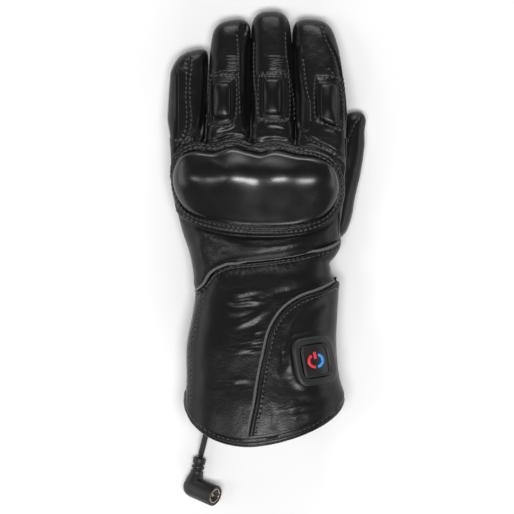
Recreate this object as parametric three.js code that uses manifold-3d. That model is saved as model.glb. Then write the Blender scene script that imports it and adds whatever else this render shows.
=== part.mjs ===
import * as THREE from "three";
import { LoftGeometry } from "three/addons/geometries/LoftGeometry.js";
import { mergeVertices } from "three/addons/utils/BufferGeometryUtils.js";
import Module from "manifold-3d";

// A heated gauntlet glove for the left hand, lying palm down. Lengths are in millimetres.
// X runs across the hand to the thumb, Y from the cuff to the fingertips, and Z up from the
// surface that the glove lies on. The origin is on that surface, under the heel of the hand.

// Leather and clearances
const gap = 0.3;
const wall = 3.5;
const lap = 1;
const fingerGap = 0.8;

// The hand and the cuff
const heelToWrist = 27.3;
const handLength = 93.3;
const cuffLength = 120.4;
const knuckleWidth = 122;
const knuckleHeight = 51;
const wristWidth = 95.5;
const wristHeight = 46;
const hemWidth = 112.5;
const hemHeight = 63;
const seamRise = 19;
const hemRise = 31.5;
const thumbSideLift = 5.3;
const webDepth = 6;
const foldDepth = 2.4;

// The fingers and the thumb
const fingerLength = 89.8;
const fingerHeight = 26;
const tipHeight = 22;
const ribDepth = 0.9;
const thumbLength = 95.5;
const thumbWidth = 27;
const thumbHeight = 25;

// Panels, trim and binding
const flapThickness = 1.8;
const bindingThickness = 1.2;
const bindingWidth = 7;
const pipingDiameter = 2;

// The knuckle guard and the finger pads
const guardWidth = 110;
const guardLength = 51;
const guardHeight = 8;
const lobeHeight = 3.4;
const padHeight = 3;

// The heat controller
const bezelWidth = 25.5;
const bezelLength = 33;
const bezelHeight = 4.4;
const buttonWidth = 16.3;
const buttonLength = 22;
const buttonHeight = 2.4;
const bezelLip = 1;

// The lead and its plug
const leadDiameter = 4;
const collarDiameter = 9;
const stemLength = 21.3;
const barrelDiameter = 15;
const barrelLength = 19.6;
const sleeveDiameter = 11;
const boreDiameter = 8;
const socketDepth = 9.5;
const pinDiameter = 2.2;

// How finely each form is cut
const bodySides = 40;
const fingerSides = 16;
const thumbSides = 16;

// Places that follow from the sizes
const wristY = -heelToWrist;
const fingerLine = wristY + handLength;
const hemY = wristY - cuffLength;
const handRest = -lap;
const cuffRest = gap + bindingThickness;
const flapFace = gap + flapThickness;
const pocketFloor = bezelHeight - 0.83 * buttonHeight;

// Cross-sections of the hand. Along is a share of the hand's length from the wrist line, middle
// and width are shares of the knuckle width, back and palm are shares of the knuckle height, lift
// is a share of the thumb side's lift, and round and flat are the corners of the back and palm.
const handRows = [
  { along: 0.15, middle: -0.003, width: 0.823, back: 0.925, palm: -0.03, lift: 0.1, round: 2.3, flat: 3 },
  { along: 0.3, middle: -0.009, width: 0.888, back: 0.957, palm: -0.05, lift: 0.3, round: 2.3, flat: 3 },
  { along: 0.5, middle: -0.015, width: 0.952, back: 0.99, palm: -0.02, lift: 0.6, round: 2.35, flat: 2.9 },
  { along: 0.7, middle: -0.025, width: 0.991, back: 1, palm: 0.13, lift: 0.9, round: 2.5, flat: 2.8 },
  { along: 0.86, middle: -0.023, width: 0.998, back: 0.95, palm: 0.25, lift: 1, round: 2.8, flat: 2.9 },
  { along: 1, middle: -0.024, width: 1.004, back: 0.89, palm: 0.28, lift: 1, round: 3.2, flat: 3.2 },
];

// Cross-sections of the cuff. Along is a share of the cuff's length from the wrist line, middle
// and width are shares of the hem's width, and back and palm are shares of its height.
const cuffRows = [
  { along: 0.087, middle: 0.022, width: 0.865, back: 0.762, palm: 0.01 },
  { along: 0.227, middle: 0.01, width: 0.878, back: 0.81, palm: -0.01 },
  { along: 0.413, middle: -0.012, width: 0.908, back: 0.873, palm: -0.016 },
  { along: 0.6, middle: -0.003, width: 0.927, back: 0.93, palm: -0.016 },
  { along: 0.738, middle: 0.014, width: 0.975, back: 0.968, palm: -0.016 },
  { along: 1, middle: 0.016, width: 1, back: 1, palm: -0.016 },
];

// The wrist seam's height above the wrist line, as a share of its rise on the thumb side
const seamRows = [
  { across: -1, rise: -0.58 },
  { across: -0.8, rise: -0.13 },
  { across: -0.6, rise: 0.23 },
  { across: -0.35, rise: 0.42 },
  { across: 0, rise: 0.505 },
  { across: 0.5, rise: 0.66 },
  { across: 1, rise: 1 },
];

// Folds and swells of the leather on the cuff's back. Along is a share of the cuff's length from
// the wrist line, across, reach and width are shares of the wrist's width, depth is a share of
// the fold depth, and slope is in degrees.
const cuffFolds = [
  { along: 0.095, across: -0.12, reach: 0.26, width: 0.045, depth: 1, slope: -4 },
  { along: 0.175, across: -0.16, reach: 0.2, width: 0.06, depth: -0.6, slope: 8 },
  { along: 0.25, across: 0.05, reach: 0.2, width: 0.055, depth: 0.9, slope: 34 },
  { along: 0.33, across: -0.2, reach: 0.16, width: 0.09, depth: -0.5, slope: 20 },
];

// Folds on the back of the hand behind the guard, in shares of the hand's length and the
// knuckle width
const handFolds = [
  { along: 0.32, across: -0.02, reach: 0.42, width: 0.03, depth: 0.8, slope: 2 },
  { along: 0.25, across: 0.12, reach: 0.3, width: 0.05, depth: -0.6, slope: 8 },
];

// The fingers from the little finger to the index finger. Width is a share of the room across
// the knuckles, length and shift are shares of the finger length, and taper is the tip's share
// of the root's width. Pads and ribs give shares along the finger and across its width.
const fingers = [
  { name: "little", width: 0.203, length: 0.707, shift: 0.031, taper: 0.96 },
  {
    name: "ring", width: 0.257, length: 0.933, shift: 0.028, taper: 0.86,
    pad: { along: 0.32, across: -0.33, width: 0.46, length: 0.3, slant: 0 },
    ribs: { from: 0.58, to: 0.71 },
  },
  {
    name: "middle", width: 0.253, length: 1, shift: -0.023, taper: 0.86,
    pad: { along: 0.325, across: -0.02, width: 0.46, length: 0.29, slant: 0 },
    ribs: { from: 0.56, to: 0.67 },
  },
  {
    name: "index", width: 0.287, length: 0.938, shift: -0.068, taper: 0.8,
    pad: { along: 0.29, across: 0.36, width: 0.4, length: 0.34, slant: 0.14 },
  },
];

// The thumb. Along is a share of its length from the ball of the thumb, middle is a share of the
// knuckle width, and width is a share of the thumb's own width.
const thumbRows = [
  { along: 0, middle: 0.325, width: 0.88 },
  { along: 0.1, middle: 0.361, width: 1 },
  { along: 0.216, middle: 0.396, width: 0.98 },
  { along: 0.352, middle: 0.422, width: 0.92 },
  { along: 0.572, middle: 0.47, width: 0.83 },
  { along: 0.79, middle: 0.502, width: 0.755 },
  { along: 0.908, middle: 0.522, width: 0.7 },
  { along: 1, middle: 0.545, width: 0.64 },
];

// The guard's outline, in shares of its width and length from its middle
const guardOutline = [
  { across: -0.5, along: 0.09 },
  { across: -0.46, along: 0.37 },
  { across: -0.38, along: 0.46 },
  { across: -0.255, along: 0.44 },
  { across: -0.15, along: 0.515 },
  { across: -0.05, along: 0.457 },
  { across: 0.03, along: 0.415 },
  { across: 0.12, along: 0.465 },
  { across: 0.25, along: 0.395 },
  { across: 0.37, along: 0.355 },
  { across: 0.46, along: 0.235 },
  { across: 0.5, along: -0.03 },
  { across: 0.478, along: -0.244 },
  { across: 0.4, along: -0.395 },
  { across: 0.26, along: -0.474 },
  { across: 0.05, along: -0.495 },
  { across: -0.18, along: -0.465 },
  { across: -0.38, along: -0.359 },
  { across: -0.47, along: -0.2 },
];

// The guard's four lobes over the knuckles, in shares of its width and length from its middle
const guardLobes = [
  { across: -0.376, along: 0.17, height: 0.85 },
  { across: -0.127, along: 0.19, height: 1 },
  { across: 0.121, along: 0.16, height: 0.95 },
  { across: 0.357, along: 0.1, height: 0.8 },
];

// The flap's edge from the wrist on the thumb side to the hem. Across is a share of the hem's
// width from its middle, and along is a share of the cuff's length from the wrist line.
const flapRows = [
  { across: 0.47, along: 0.03 },
  { across: 0.43, along: 0.058 },
  { across: 0.35, along: 0.095 },
  { across: 0.23, along: 0.135 },
  { across: 0.12, along: 0.208 },
  { across: 0.045, along: 0.32 },
  { across: 0.01, along: 0.45 },
  { across: -0.02, along: 0.58 },
  { across: -0.045, along: 0.73 },
  { across: -0.072, along: 0.85 },
  { across: -0.1, along: 1.02 },
];

// The heat controller's place on the cuff, in shares of the hem's width and the cuff's length
const controller = { across: 0.288, along: 0.494, turn: 9.5 };

// The lead's route: out of its tab inside the cuff, over the binding and down to the plug. The
// lead is limp and follows no other piece, so these points are its own.
const leadRoute = [
  [-35.5, -100, 10.4],
  [-35.8, -106, 10.6],
  [-36.3, -113, 11.2],
  [-36.9, -120, 12.2],
  [-37.5, -127, 13.1],
  [-38.2, -133, 13.4],
  [-39.2, -139, 13.1],
  [-40.4, -144.5, 11.8],
  [-41.6, -149.5, 9.8],
  [-42.6, -153.3, 8.2],
  [-43.4, -156.5, 7.2],
];

// Where the plug's stem begins and where its elbow rests on the surface
const stemTop = new THREE.Vector3(-43.67, -157.2, 7);
const stemHeading = new THREE.Vector3(-0.206, -0.978, 0.023).normalize();
const barrelHeading = new THREE.Vector3(0.789, -0.283, 0.545).normalize();

const wasm = await Module();
wasm.setup();

const lerp = THREE.MathUtils.lerp;
const clamp = THREE.MathUtils.clamp;
const smoothstep = THREE.MathUtils.smoothstep;

// Reads one column of a table on a smooth curve through its rows.
function column(rows, key, name) {
  const last = rows.length - 1;
  const slopeAt = (i) => {
    const before = rows[Math.max(i - 1, 0)];
    const after = rows[Math.min(i + 1, last)];
    return (after[name] - before[name]) / (after[key] - before[key]);
  };
  return (at) => {
    let i = 0;
    while (i < last - 1 && rows[i + 1][key] < at) {
      i += 1;
    }
    const span = rows[i + 1][key] - rows[i][key];
    const t = clamp((at - rows[i][key]) / span, 0, 1);
    const start = rows[i][name] * (1 + 2 * t) * (1 - t) ** 2;
    const end = rows[i + 1][name] * t * t * (3 - 2 * t);
    const bend = (slopeAt(i) * t * (1 - t) ** 2 - slopeAt(i + 1) * t * t * (1 - t)) * span;
    return start + end + bend;
  };
}

// Equal steps from one number to another.
function steps(from, to, count) {
  return Array.from({ length: count + 1 }, (_, i) => lerp(from, to, i / count));
}

// The angles round a cross-section, from the thumb side over the back.
function turns(sides) {
  return steps(0, 2 * Math.PI, sides).slice(0, sides);
}

// A cosine or sine pulled towards the corner of a rounded box.
function squared(value, corner) {
  return Math.sign(value) * Math.abs(value) ** (2 / corner);
}

// The height of a rounded box's edge, for a place across it from -1 to 1.
function arch(across, corner) {
  return (1 - Math.min(Math.abs(across), 1) ** corner) ** (1 / corner);
}

// A closed solid from a three.js geometry, with its faces turned outwards.
function solid(geometry) {
  const bare = new THREE.BufferGeometry();
  bare.setAttribute("position", geometry.attributes.position);
  bare.setIndex(geometry.index);
  const merged = mergeVertices(bare, 1e-4);
  const points = merged.attributes.position.array;
  const corners = merged.index.array;
  const faces = [];
  let volume = 0;
  for (let i = 0; i < corners.length; i += 3) {
    const [a, b, c] = corners.slice(i, i + 3);
    if (a === b || b === c || c === a) {
      continue;
    }
    faces.push([a, b, c]);
    const [p, q, r] = [a, b, c].map((k) => new THREE.Vector3().fromArray(points, 3 * k));
    volume += p.dot(q.cross(r)) / 6;
  }
  const triVerts = new Uint32Array((volume < 0 ? faces.map((face) => face.reverse()) : faces).flat());
  const vertProperties = new Float32Array(points);
  return new wasm.Manifold(new wasm.Mesh({ numProp: 3, vertProperties, triVerts }));
}

// The middle of a ring of points, once for each of them
function pole(ring) {
  const middle = ring.reduce((sum, p) => sum.add(p), new THREE.Vector3()).divideScalar(ring.length);
  return ring.map(() => middle);
}

// A solid lofted through rings of points, closed at both ends
function filled(rings) {
  return pointed([pole(rings[0]), ...rings, pole(rings.at(-1))]);
}

// A solid lofted through rings whose first and last rings are single points.
function pointed(rings) {
  return solid(new LoftGeometry(rings));
}

// A solid lofted through rings that come back to the first one.
function looped(rings) {
  return solid(new LoftGeometry([...rings, rings[0]]));
}

// The main body of a cut piece, without the crumbs that a cut along facets leaves
function largest(form) {
  return form.decompose().reduce((best, one) => (one.volume() > best.volume() ? one : best));
}

// Section tables of the whole body in millimetres, from the hem to the finger line
const bodyRows = [
  ...cuffRows.map((row) => ({
    y: wristY - cuffLength * row.along,
    middle: hemWidth * row.middle,
    half: (hemWidth * row.width) / 2,
    back: hemHeight * row.back,
    palm: hemHeight * row.palm,
    lift: 0,
    round: 2.3,
    flat: 3,
  })).reverse(),
  { y: wristY, middle: 0, half: wristWidth / 2, back: wristHeight, palm: 2, lift: 0, round: 2.3, flat: 3 },
  ...handRows.map((row) => ({
    y: wristY + handLength * row.along,
    middle: knuckleWidth * row.middle,
    half: (knuckleWidth * row.width) / 2,
    back: knuckleHeight * row.back,
    palm: knuckleHeight * row.palm,
    lift: thumbSideLift * row.lift,
    round: row.round,
    flat: row.flat,
  })),
];
const body = Object.fromEntries(
  ["middle", "half", "back", "palm", "lift", "round", "flat"].map((name) => [name, column(bodyRows, "y", name)]),
);

// The fingers' widths and root places, worked out across the knuckles from the little finger.
const room = knuckleWidth - 3 * fingerGap;
let edge = body.middle(fingerLine) - knuckleWidth / 2;
for (const finger of fingers) {
  finger.half = (room * finger.width) / 2;
  finger.root = edge + finger.half;
  finger.reach = fingerLength * finger.length;
  finger.tip = fingerLength * finger.shift;
  edge += 2 * finger.half + fingerGap;
}
const webs = fingers.slice(1).map((finger) => finger.root - finger.half - fingerGap / 2);

// How deep a table's folds are at a place on the back.
function foldsAt(rows, x, y, length, width, startY) {
  let depth = 0;
  for (const row of rows) {
    const slope = THREE.MathUtils.degToRad(row.slope);
    const dx = x - row.across * width;
    const dy = y - (startY + length * row.along);
    const along = (dx * Math.cos(slope) + dy * Math.sin(slope)) / (row.reach * width);
    const aside = (dy * Math.cos(slope) - dx * Math.sin(slope)) / (row.width * width);
    depth += row.depth * foldDepth * Math.exp(-along * along - aside * aside);
  }
  return depth;
}

// How deep the leather sinks between the fingers' roots.
function webAt(x, y) {
  const near = smoothstep(y, fingerLine - 0.2 * handLength, fingerLine);
  return near * Math.max(...webs.map((web) => Math.exp(-(((x - web) / webDepth) ** 2)))) * webDepth;
}

// A point of the hand and cuff: a place across the section from -1 to 1, on the back or the palm,
// grown outwards by some millimetres and kept above the surface that the glove rests on.
function bodyPoint(across, side, y, grow, rest) {
  const half = body.half(y);
  const middle = (body.back(y) + body.palm(y)) / 2;
  const height = (body.back(y) - body.palm(y)) / 2;
  const up = side * arch(across, side > 0 ? body.round(y) : body.flat(y));
  const x = body.middle(y) + half * across;
  const web = webAt(x, y) * up * (side > 0 ? 1 : 0.5);
  const cuffFold = foldsAt(cuffFolds, x, y, -cuffLength, wristWidth, wristY);
  const handFold = foldsAt(handFolds, x, y, handLength, knuckleWidth, wristY);
  const fold = side > 0 ? (cuffFold + handFold) * up : 0;
  const z = middle + (height + grow) * up + body.lift(y) * across - web - fold;
  return new THREE.Vector3(x + grow * across, y, Math.max(z, rest - grow));
}

// A ring round the hand or cuff, whose height along the glove depends on the place across it.
function bodyRing(yAt, grow, rest) {
  return turns(bodySides).map((turn) => {
    const across = squared(Math.cos(turn), 2.4);
    return bodyPoint(across, Math.sin(turn) < 0 ? -1 : 1, yAt(across), grow, rest);
  });
}

// The wrist seam and the hem, for a place across the section.
const seamShare = column(seamRows, "across", "rise");

function seamY(across) {
  return wristY + seamRise * seamShare(across);
}

function hemLine(across) {
  const lowest = -0.2;
  const side = across < lowest ? 1 + lowest : 1 - lowest;
  const corner = across < lowest ? 2 : 1.6;
  const share = Math.min(Math.abs(across - lowest) / side, 1);
  return hemY + hemRise * (1 - arch(share, corner));
}

// Rings from one line across the glove to another.
function bodyRings(fromY, toY, shares, grow, rest) {
  return shares.map((share) => bodyRing((across) => lerp(fromY(across), toY(across), share), grow, rest));
}

// A point of a finger: a share along it, a place across its section, on the back or the palm,
// grown by some millimetres.
const tipStart = 0.84;

function fingerCenter(finger, y) {
  const share = clamp((y - fingerLine) / finger.reach, 0, 1);
  const rootHeight = (body.back(fingerLine) + body.palm(fingerLine)) / 2;
  const rise = (body.lift(fingerLine) * (finger.root - body.middle(fingerLine))) / body.half(fingerLine);
  return {
    x: finger.root + finger.tip * share ** 1.5,
    z: lerp(rootHeight + rise, tipHeight / 2 - 0.5, 0.35 * share + 0.65 * share * share),
    half: finger.half * lerp(1, finger.taper, share),
    height: lerp(fingerHeight, tipHeight, share) / 2,
  };
}

// How deep the grooves between a finger's ribs are
const ribCount = 4;

function ribsAt(finger, y, across) {
  if (!finger.ribs) {
    return 0;
  }
  const share = (y - fingerLine) / finger.reach;
  const inside = clamp((share - finger.ribs.from) / (finger.ribs.to - finger.ribs.from), 0, 1);
  return ribDepth * Math.sin(inside * ribCount * Math.PI) ** 2 * smoothstep(across, -0.5, 0.1);
}

function fingerPoint(finger, share, across, side, grow) {
  const y = fingerLine + gap + share * (finger.reach - gap + grow);
  const at = fingerCenter(finger, y);
  const cap = arch(Math.max((share - tipStart) / (1 - tipStart), 0), 2.3);
  const ribs = side > 0 && grow >= 0 ? ribsAt(finger, y, across) : 0;
  const x = at.x + (at.half + grow) * cap * across;
  const z = at.z + (at.height + grow) * cap * side * arch(across, 2.4) - ribs * arch(across, 2.4);
  return new THREE.Vector3(x, y, Math.max(z, -grow));
}

function fingerRing(finger, share, grow) {
  return turns(fingerSides).map((turn) => {
    const across = squared(Math.cos(turn), 2.4);
    return fingerPoint(finger, share, across, Math.sin(turn) < 0 ? -1 : 1, grow);
  });
}

function fingerShell(finger) {
  const shaft = finger.ribs
    ? [0, 0.1, 0.25, 0.42, ...steps(finger.ribs.from, finger.ribs.to, 2 * ribCount), 0.79]
    : [0, 0.1, 0.25, 0.4, 0.55, 0.7, 0.79];
  const outer = [...shaft, tipStart, 0.9, 0.945, 0.98, 1].map((share) => fingerRing(finger, share, 0));
  const inner = [0, 0.3, 0.6, tipStart, 0.93, 1].map((share) => fingerRing(finger, share, -wall));
  return pointed([...outer.reverse(), ...inner]);
}

function fingerCore(finger, grow) {
  const shares = [0, 0.1, 0.25, 0.4, 0.55, 0.7, 0.79, tipStart, 0.9, 0.945, 0.98];
  return filled(shares.map((share) => fingerRing(finger, share, grow)));
}

// The hole through the hand's end wall for one finger
function fingerMouth(finger) {
  const mouth = fingerRing(finger, 0, -wall);
  return filled([-2 * wall, wall].map((shift) => mouth.map((p) => new THREE.Vector3(p.x, p.y + shift, p.z))));
}

// The thumb, grown by some millimetres. Both ends are round.
const thumbRoot = wristY + 0.2 * handLength;
const thumbMiddle = column(thumbRows, "along", "middle");
const thumbShare = column(thumbRows, "along", "width");

function thumbRing(share, grow) {
  const y = thumbRoot - grow + share * (thumbLength + 2 * grow);
  const along = (y - thumbRoot) / thumbLength;
  const base = arch(Math.max((0.13 - share) / 0.13, 0), 2);
  const tip = arch(Math.max((share - 0.9) / 0.1, 0), 2.2);
  const half = ((thumbWidth * thumbShare(along)) / 2 + grow) * base * tip;
  const height = ((thumbHeight * thumbShare(along)) / 2 + grow) * base * tip;
  const middle = (thumbHeight * thumbShare(along)) / 2 - 0.4;
  return turns(thumbSides).map((turn) => {
    const x = knuckleWidth * thumbMiddle(along) + half * squared(Math.cos(turn), 2.2);
    return new THREE.Vector3(x, y, Math.max(middle + height * squared(Math.sin(turn), 2.2), -grow));
  });
}

function thumbCore(grow) {
  const shares = [0, 0.015, 0.05, 0.13, 0.25, 0.38, 0.52, 0.66, 0.8, 0.9, 0.945, 0.98, 1];
  return pointed(shares.map((share) => thumbRing(share, grow)));
}

// The hand, its hollow and its openings
const handShares = [0, 0.06, 0.13, 0.22, 0.34, 0.48, 0.6, 0.7, 0.78, 0.88, 1];
const handStart = (across) => seamY(across) + gap / 2;
const handEnd = () => fingerLine;

function handOutside(grow) {
  return bodyRings(handEnd, handStart, handShares, grow, handRest);
}

function handCore(grow) {
  return filled(handOutside(grow));
}

function handShell() {
  const hollowEnd = () => fingerLine - wall;
  const lining = bodyRings(handStart, hollowEnd, [0, 0.25, 0.5, 0.75, 0.9, 1], -lap - wall, handRest);
  const outside = handOutside(-lap);
  let shell = pointed([pole(outside[0]), ...outside, ...lining, pole(lining.at(-1))]).subtract(thumbCore(-wall));
  for (const finger of fingers) {
    shell = shell.subtract(fingerMouth(finger));
  }
  return shell;
}

function thumbShell() {
  return thumbCore(0).subtract(thumbCore(-wall)).subtract(handCore(gap - lap)).subtract(cuffCore(gap));
}

// The cuff, from the wrist seam to the line where its binding begins, and on to its end
const cuffShares = [0, 0.06, 0.13, 0.2, 0.27, 0.35, 0.46, 0.6, 0.76, 0.9, 1];
const cuffStart = (across) => seamY(across) - gap / 2;
const cuffBand = (across) => hemLine(across) + bindingWidth;
const cuffEnd = (across) => hemLine(across) + gap + bindingThickness;
const liningShares = [0, 0.3, 0.6, 0.8, 1];

function cuffOutside(grow) {
  return [...bodyRings(cuffStart, cuffBand, cuffShares, grow, cuffRest), bodyRing(cuffEnd, grow, cuffRest)];
}

function cuffLining(grow) {
  return [bodyRing(cuffEnd, grow, cuffRest), ...bodyRings(cuffBand, cuffStart, liningShares, grow, cuffRest)];
}

function cuffShell() {
  return looped([...cuffOutside(0), ...cuffLining(-wall)]);
}

function cuffCore(grow) {
  return filled(cuffOutside(grow));
}

function hemBinding() {
  const over = gap + bindingThickness;
  const profile = [
    { grow: over, up: bindingWidth },
    { grow: over, up: 0.8 },
    { grow: -wall / 2, up: 0 },
    { grow: -wall - over, up: 0.8 },
    { grow: -wall - over, up: bindingWidth },
    { grow: -wall - gap, up: bindingWidth },
    { grow: -wall - gap, up: bindingThickness },
    { grow: gap, up: bindingThickness },
    { grow: gap, up: bindingWidth },
  ];
  return looped(profile.map((at) => bodyRing((across) => hemLine(across) + at.up, at.grow, cuffRest)));
}

// A curve over the back through places in the plane, as points in the plane.
function planeCurve(points, closed, count) {
  const curve = new THREE.CatmullRomCurve3(points.map(([x, y]) => new THREE.Vector3(x, y, 0)), closed);
  const spots = curve.getSpacedPoints(count);
  return closed ? spots.slice(0, count) : spots;
}

// A place on the back of the hand or cuff, grown by some millimetres.
function onBody(spot, grow) {
  const across = clamp((spot.x - body.middle(spot.y)) / body.half(spot.y), -1, 1);
  return bodyPoint(across, 1, spot.y, grow, handRest);
}

function onFinger(finger, spot, grow) {
  const at = fingerCenter(finger, spot.y);
  const across = clamp((spot.x - at.x) / at.half, -1, 1);
  const share = (spot.y - fingerLine - gap) / (finger.reach - gap);
  const point = fingerPoint(finger, share, across, 1, grow);
  return point.setY(spot.y);
}

// The flap's edge in the plane, down to the binding
const flapEdge = flapRows.map((row) => [hemWidth * row.across, wristY - cuffLength * row.along]);

// The flap: a sheet over the cuff, cut along its edge, the binding and the side seam
function flapSheet() {
  const shape = new THREE.Shape(planeCurve(flapEdge, false, 20).map((p) => new THREE.Vector2(p.x, p.y)));
  shape.lineTo(hemWidth, 2 * hemY);
  shape.lineTo(hemWidth, flapEdge[0][1]);
  const panel = new THREE.ExtrudeGeometry(shape, { depth: hemHeight, bevelEnabled: false });
  panel.translate(0, 0, 0.36 * hemHeight);
  const bandTop = (across) => cuffBand(across) + gap;
  const bandEnd = (across) => hemLine(across) - wall;
  const band = looped([
    bodyRing(bandTop, flapFace + gap, cuffRest),
    bodyRing(bandEnd, flapFace + gap, cuffRest),
    bodyRing(bandEnd, 0, cuffRest),
    bodyRing(bandTop, 0, cuffRest),
  ]);
  const under = filled([...cuffOutside(gap), bodyRing(bandEnd, gap, cuffRest)]);
  return largest(cuffCore(flapFace).subtract(under).intersect(solid(panel)).subtract(band));
}

// A round bar through points, with its ends closed.
function bar(points, radius, sides) {
  const path = new THREE.CatmullRomCurve3(points);
  const section = new THREE.Shape();
  section.absarc(0, 0, radius, 0, 2 * Math.PI, false);
  const round = new THREE.ExtrudeGeometry(section, {
    steps: points.length + 2,
    curveSegments: sides / 2,
    extrudePath: path,
  });
  return solid(round);
}

// The way along a list of points at one of them
function headingAt(points, i) {
  return points[Math.min(i + 1, points.length - 1)].clone().sub(points[Math.max(i - 1, 0)]);
}

// The wrist's piping lies on the hand against the cuff's edge, moved off it by its own radius.
function wristPiping() {
  const seat = pipingDiameter / 2 + gap;
  const place = (across, grow) => bodyPoint(across, 1, seamY(across) + gap / 2, grow - lap, handRest);
  const places = steps(-0.985, 0.985, 14);
  const line = places.map((across) => place(across, seat));
  const path = line.map((point, i) => {
    const outward = place(places[i], seat + 1).sub(point);
    return point.clone().addScaledVector(outward.cross(headingAt(line, i)).normalize(), seat);
  });
  return bar(path, pipingDiameter / 2, 8).subtract(handCore(gap - lap));
}

// The flap's piping lies on the cuff against the flap's edge, which is cut straight down.
function flapPiping() {
  const seat = pipingDiameter / 2 + gap;
  const line = planeCurve(flapEdge, false, 18).filter((p) => p.y > cuffBand(-0.1) + 3 * gap);
  const path = line.map((point, i) => {
    const heading = headingAt(line, i);
    const aside = new THREE.Vector3(heading.y, -heading.x, 0).normalize();
    const spot = point.clone().addScaledVector(aside, seat);
    const foot = onBody(spot, 0);
    return { foot, slant: onBody(spot, 1).sub(foot).normalize().z };
  });
  const lying = path.filter((at) => at.slant > 0.35).map((at) => at.foot.setZ(at.foot.z + seat / at.slant));
  return bar(lying, pipingDiameter / 2, 8).subtract(cuffCore(gap));
}

// A moulded piece over an outline: rings at shares of the outline rise from the surface to the
// middle, and the surface below is cut out of it.
function moulded(outline, levels, place, heightAt) {
  const center = outline.reduce((sum, p) => sum.add(p), new THREE.Vector3()).divideScalar(outline.length);
  const ring = (share, rise) => outline.map((p) => {
    const spot = center.clone().lerp(p, share);
    return place(spot, rise(spot));
  });
  const sunk = () => -1.5;
  const base = [ring(0, sunk), ring(1, sunk)];
  const top = levels.map((level) => ring(level.share, (spot) => heightAt(spot, level)));
  return pointed([...base, ...top]);
}

const guardCenter = [-0.034 * knuckleWidth, wristY + 0.655 * handLength];

function knuckleGuard() {
  const points = guardOutline.map((row) => [
    guardCenter[0] + row.across * guardWidth,
    guardCenter[1] + row.along * guardLength,
  ]);
  const levels = [
    { share: 1, rise: 0.18 },
    { share: 0.98, rise: 0.42 },
    { share: 0.92, rise: 0.7 },
    { share: 0.8, rise: 0.9 },
    { share: 0.6, rise: 0.97 },
    { share: 0.34, rise: 1 },
    { share: 0, rise: 1 },
  ];
  const lobes = (spot) => Math.max(...guardLobes.map((lobe) => {
    const dx = (spot.x - guardCenter[0] - lobe.across * guardWidth) / (0.115 * guardWidth);
    const dy = (spot.y - guardCenter[1] - lobe.along * guardLength) / (0.3 * guardLength);
    return lobe.height * Math.exp(-dx * dx - dy * dy);
  }));
  const heightAt = (spot, level) => level.rise * (guardHeight + lobeHeight * lobes(spot)) - lap;
  return moulded(planeCurve(points, true, 36), levels, onBody, heightAt).subtract(handCore(gap - lap));
}

// A finger's moulded pad: a rounded box on the back of the finger.
function fingerPad(finger) {
  const middleY = fingerLine + finger.reach * finger.pad.along;
  const at = fingerCenter(finger, middleY);
  const halfWidth = finger.pad.width * finger.half;
  const halfLength = (finger.pad.length * finger.reach) / 2;
  const outline = turns(16).map((turn) => {
    const across = squared(Math.cos(turn), 4);
    const along = squared(Math.sin(turn), 4);
    const slant = along < 0 ? finger.pad.slant * across * halfLength * along : 0;
    const x = at.x + finger.pad.across * finger.half + halfWidth * across;
    return new THREE.Vector3(x, middleY + halfLength * along + slant, 0);
  });
  const levels = [
    { share: 1, rise: 0.35 },
    { share: 0.93, rise: 0.75 },
    { share: 0.75, rise: 0.95 },
    { share: 0, rise: 1.05 },
  ];
  const pad = moulded(
    outline, levels, (spot, grow) => onFinger(finger, spot, grow), (_, level) => padHeight * level.rise,
  );
  return pad.subtract(fingerCore(finger, gap));
}

// The controller's outline on the flap, a rounded box turned a little.
function controllerOutline(width, length, count) {
  const turned = THREE.MathUtils.degToRad(controller.turn);
  const middle = new THREE.Vector3(hemWidth * controller.across, wristY - cuffLength * controller.along, 0);
  return turns(count).map((turn) => {
    const spot = new THREE.Vector3(
      (squared(Math.cos(turn), 3.6) * width) / 2,
      (squared(Math.sin(turn), 3.6) * length) / 2,
      0,
    );
    return spot.applyAxisAngle(new THREE.Vector3(0, 0, 1), turned).add(middle);
  });
}

// A ring of the controller over the flap
function controllerRing(width, length, rise) {
  return controllerOutline(width, length, 24).map((spot) => onBody(spot, flapFace + rise));
}

function controlBezel() {
  const pocketWidth = buttonWidth + 2 * gap;
  const pocketLength = buttonLength + 2 * gap;
  const rings = [
    controllerRing(0, 0, -bezelLip),
    controllerRing(bezelWidth, bezelLength, -bezelLip),
    controllerRing(bezelWidth, bezelLength, bezelLip),
    controllerRing(0.97 * bezelWidth, 0.97 * bezelLength, 0.72 * bezelHeight),
    controllerRing(0.88 * bezelWidth, 0.88 * bezelLength, bezelHeight),
    controllerRing(pocketWidth + bezelLip, pocketLength + bezelLip, bezelHeight),
    controllerRing(pocketWidth, pocketLength, bezelHeight - bezelLip / 2),
    controllerRing(pocketWidth, pocketLength, pocketFloor),
    controllerRing(0, 0, pocketFloor),
  ];
  return pointed(rings).subtract(cuffCore(flapFace + gap));
}

function controlButton() {
  const floor = pocketFloor + gap;
  return pointed([
    controllerRing(0, 0, floor),
    controllerRing(buttonWidth, buttonLength, floor),
    controllerRing(buttonWidth, buttonLength, floor + 0.7 * buttonHeight),
    controllerRing(0.9 * buttonWidth, 0.9 * buttonLength, floor + buttonHeight),
    controllerRing(0.5 * buttonWidth, 0.5 * buttonLength, floor + 1.06 * buttonHeight),
    controllerRing(0, 0, floor + 1.08 * buttonHeight),
  ]);
}

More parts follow.
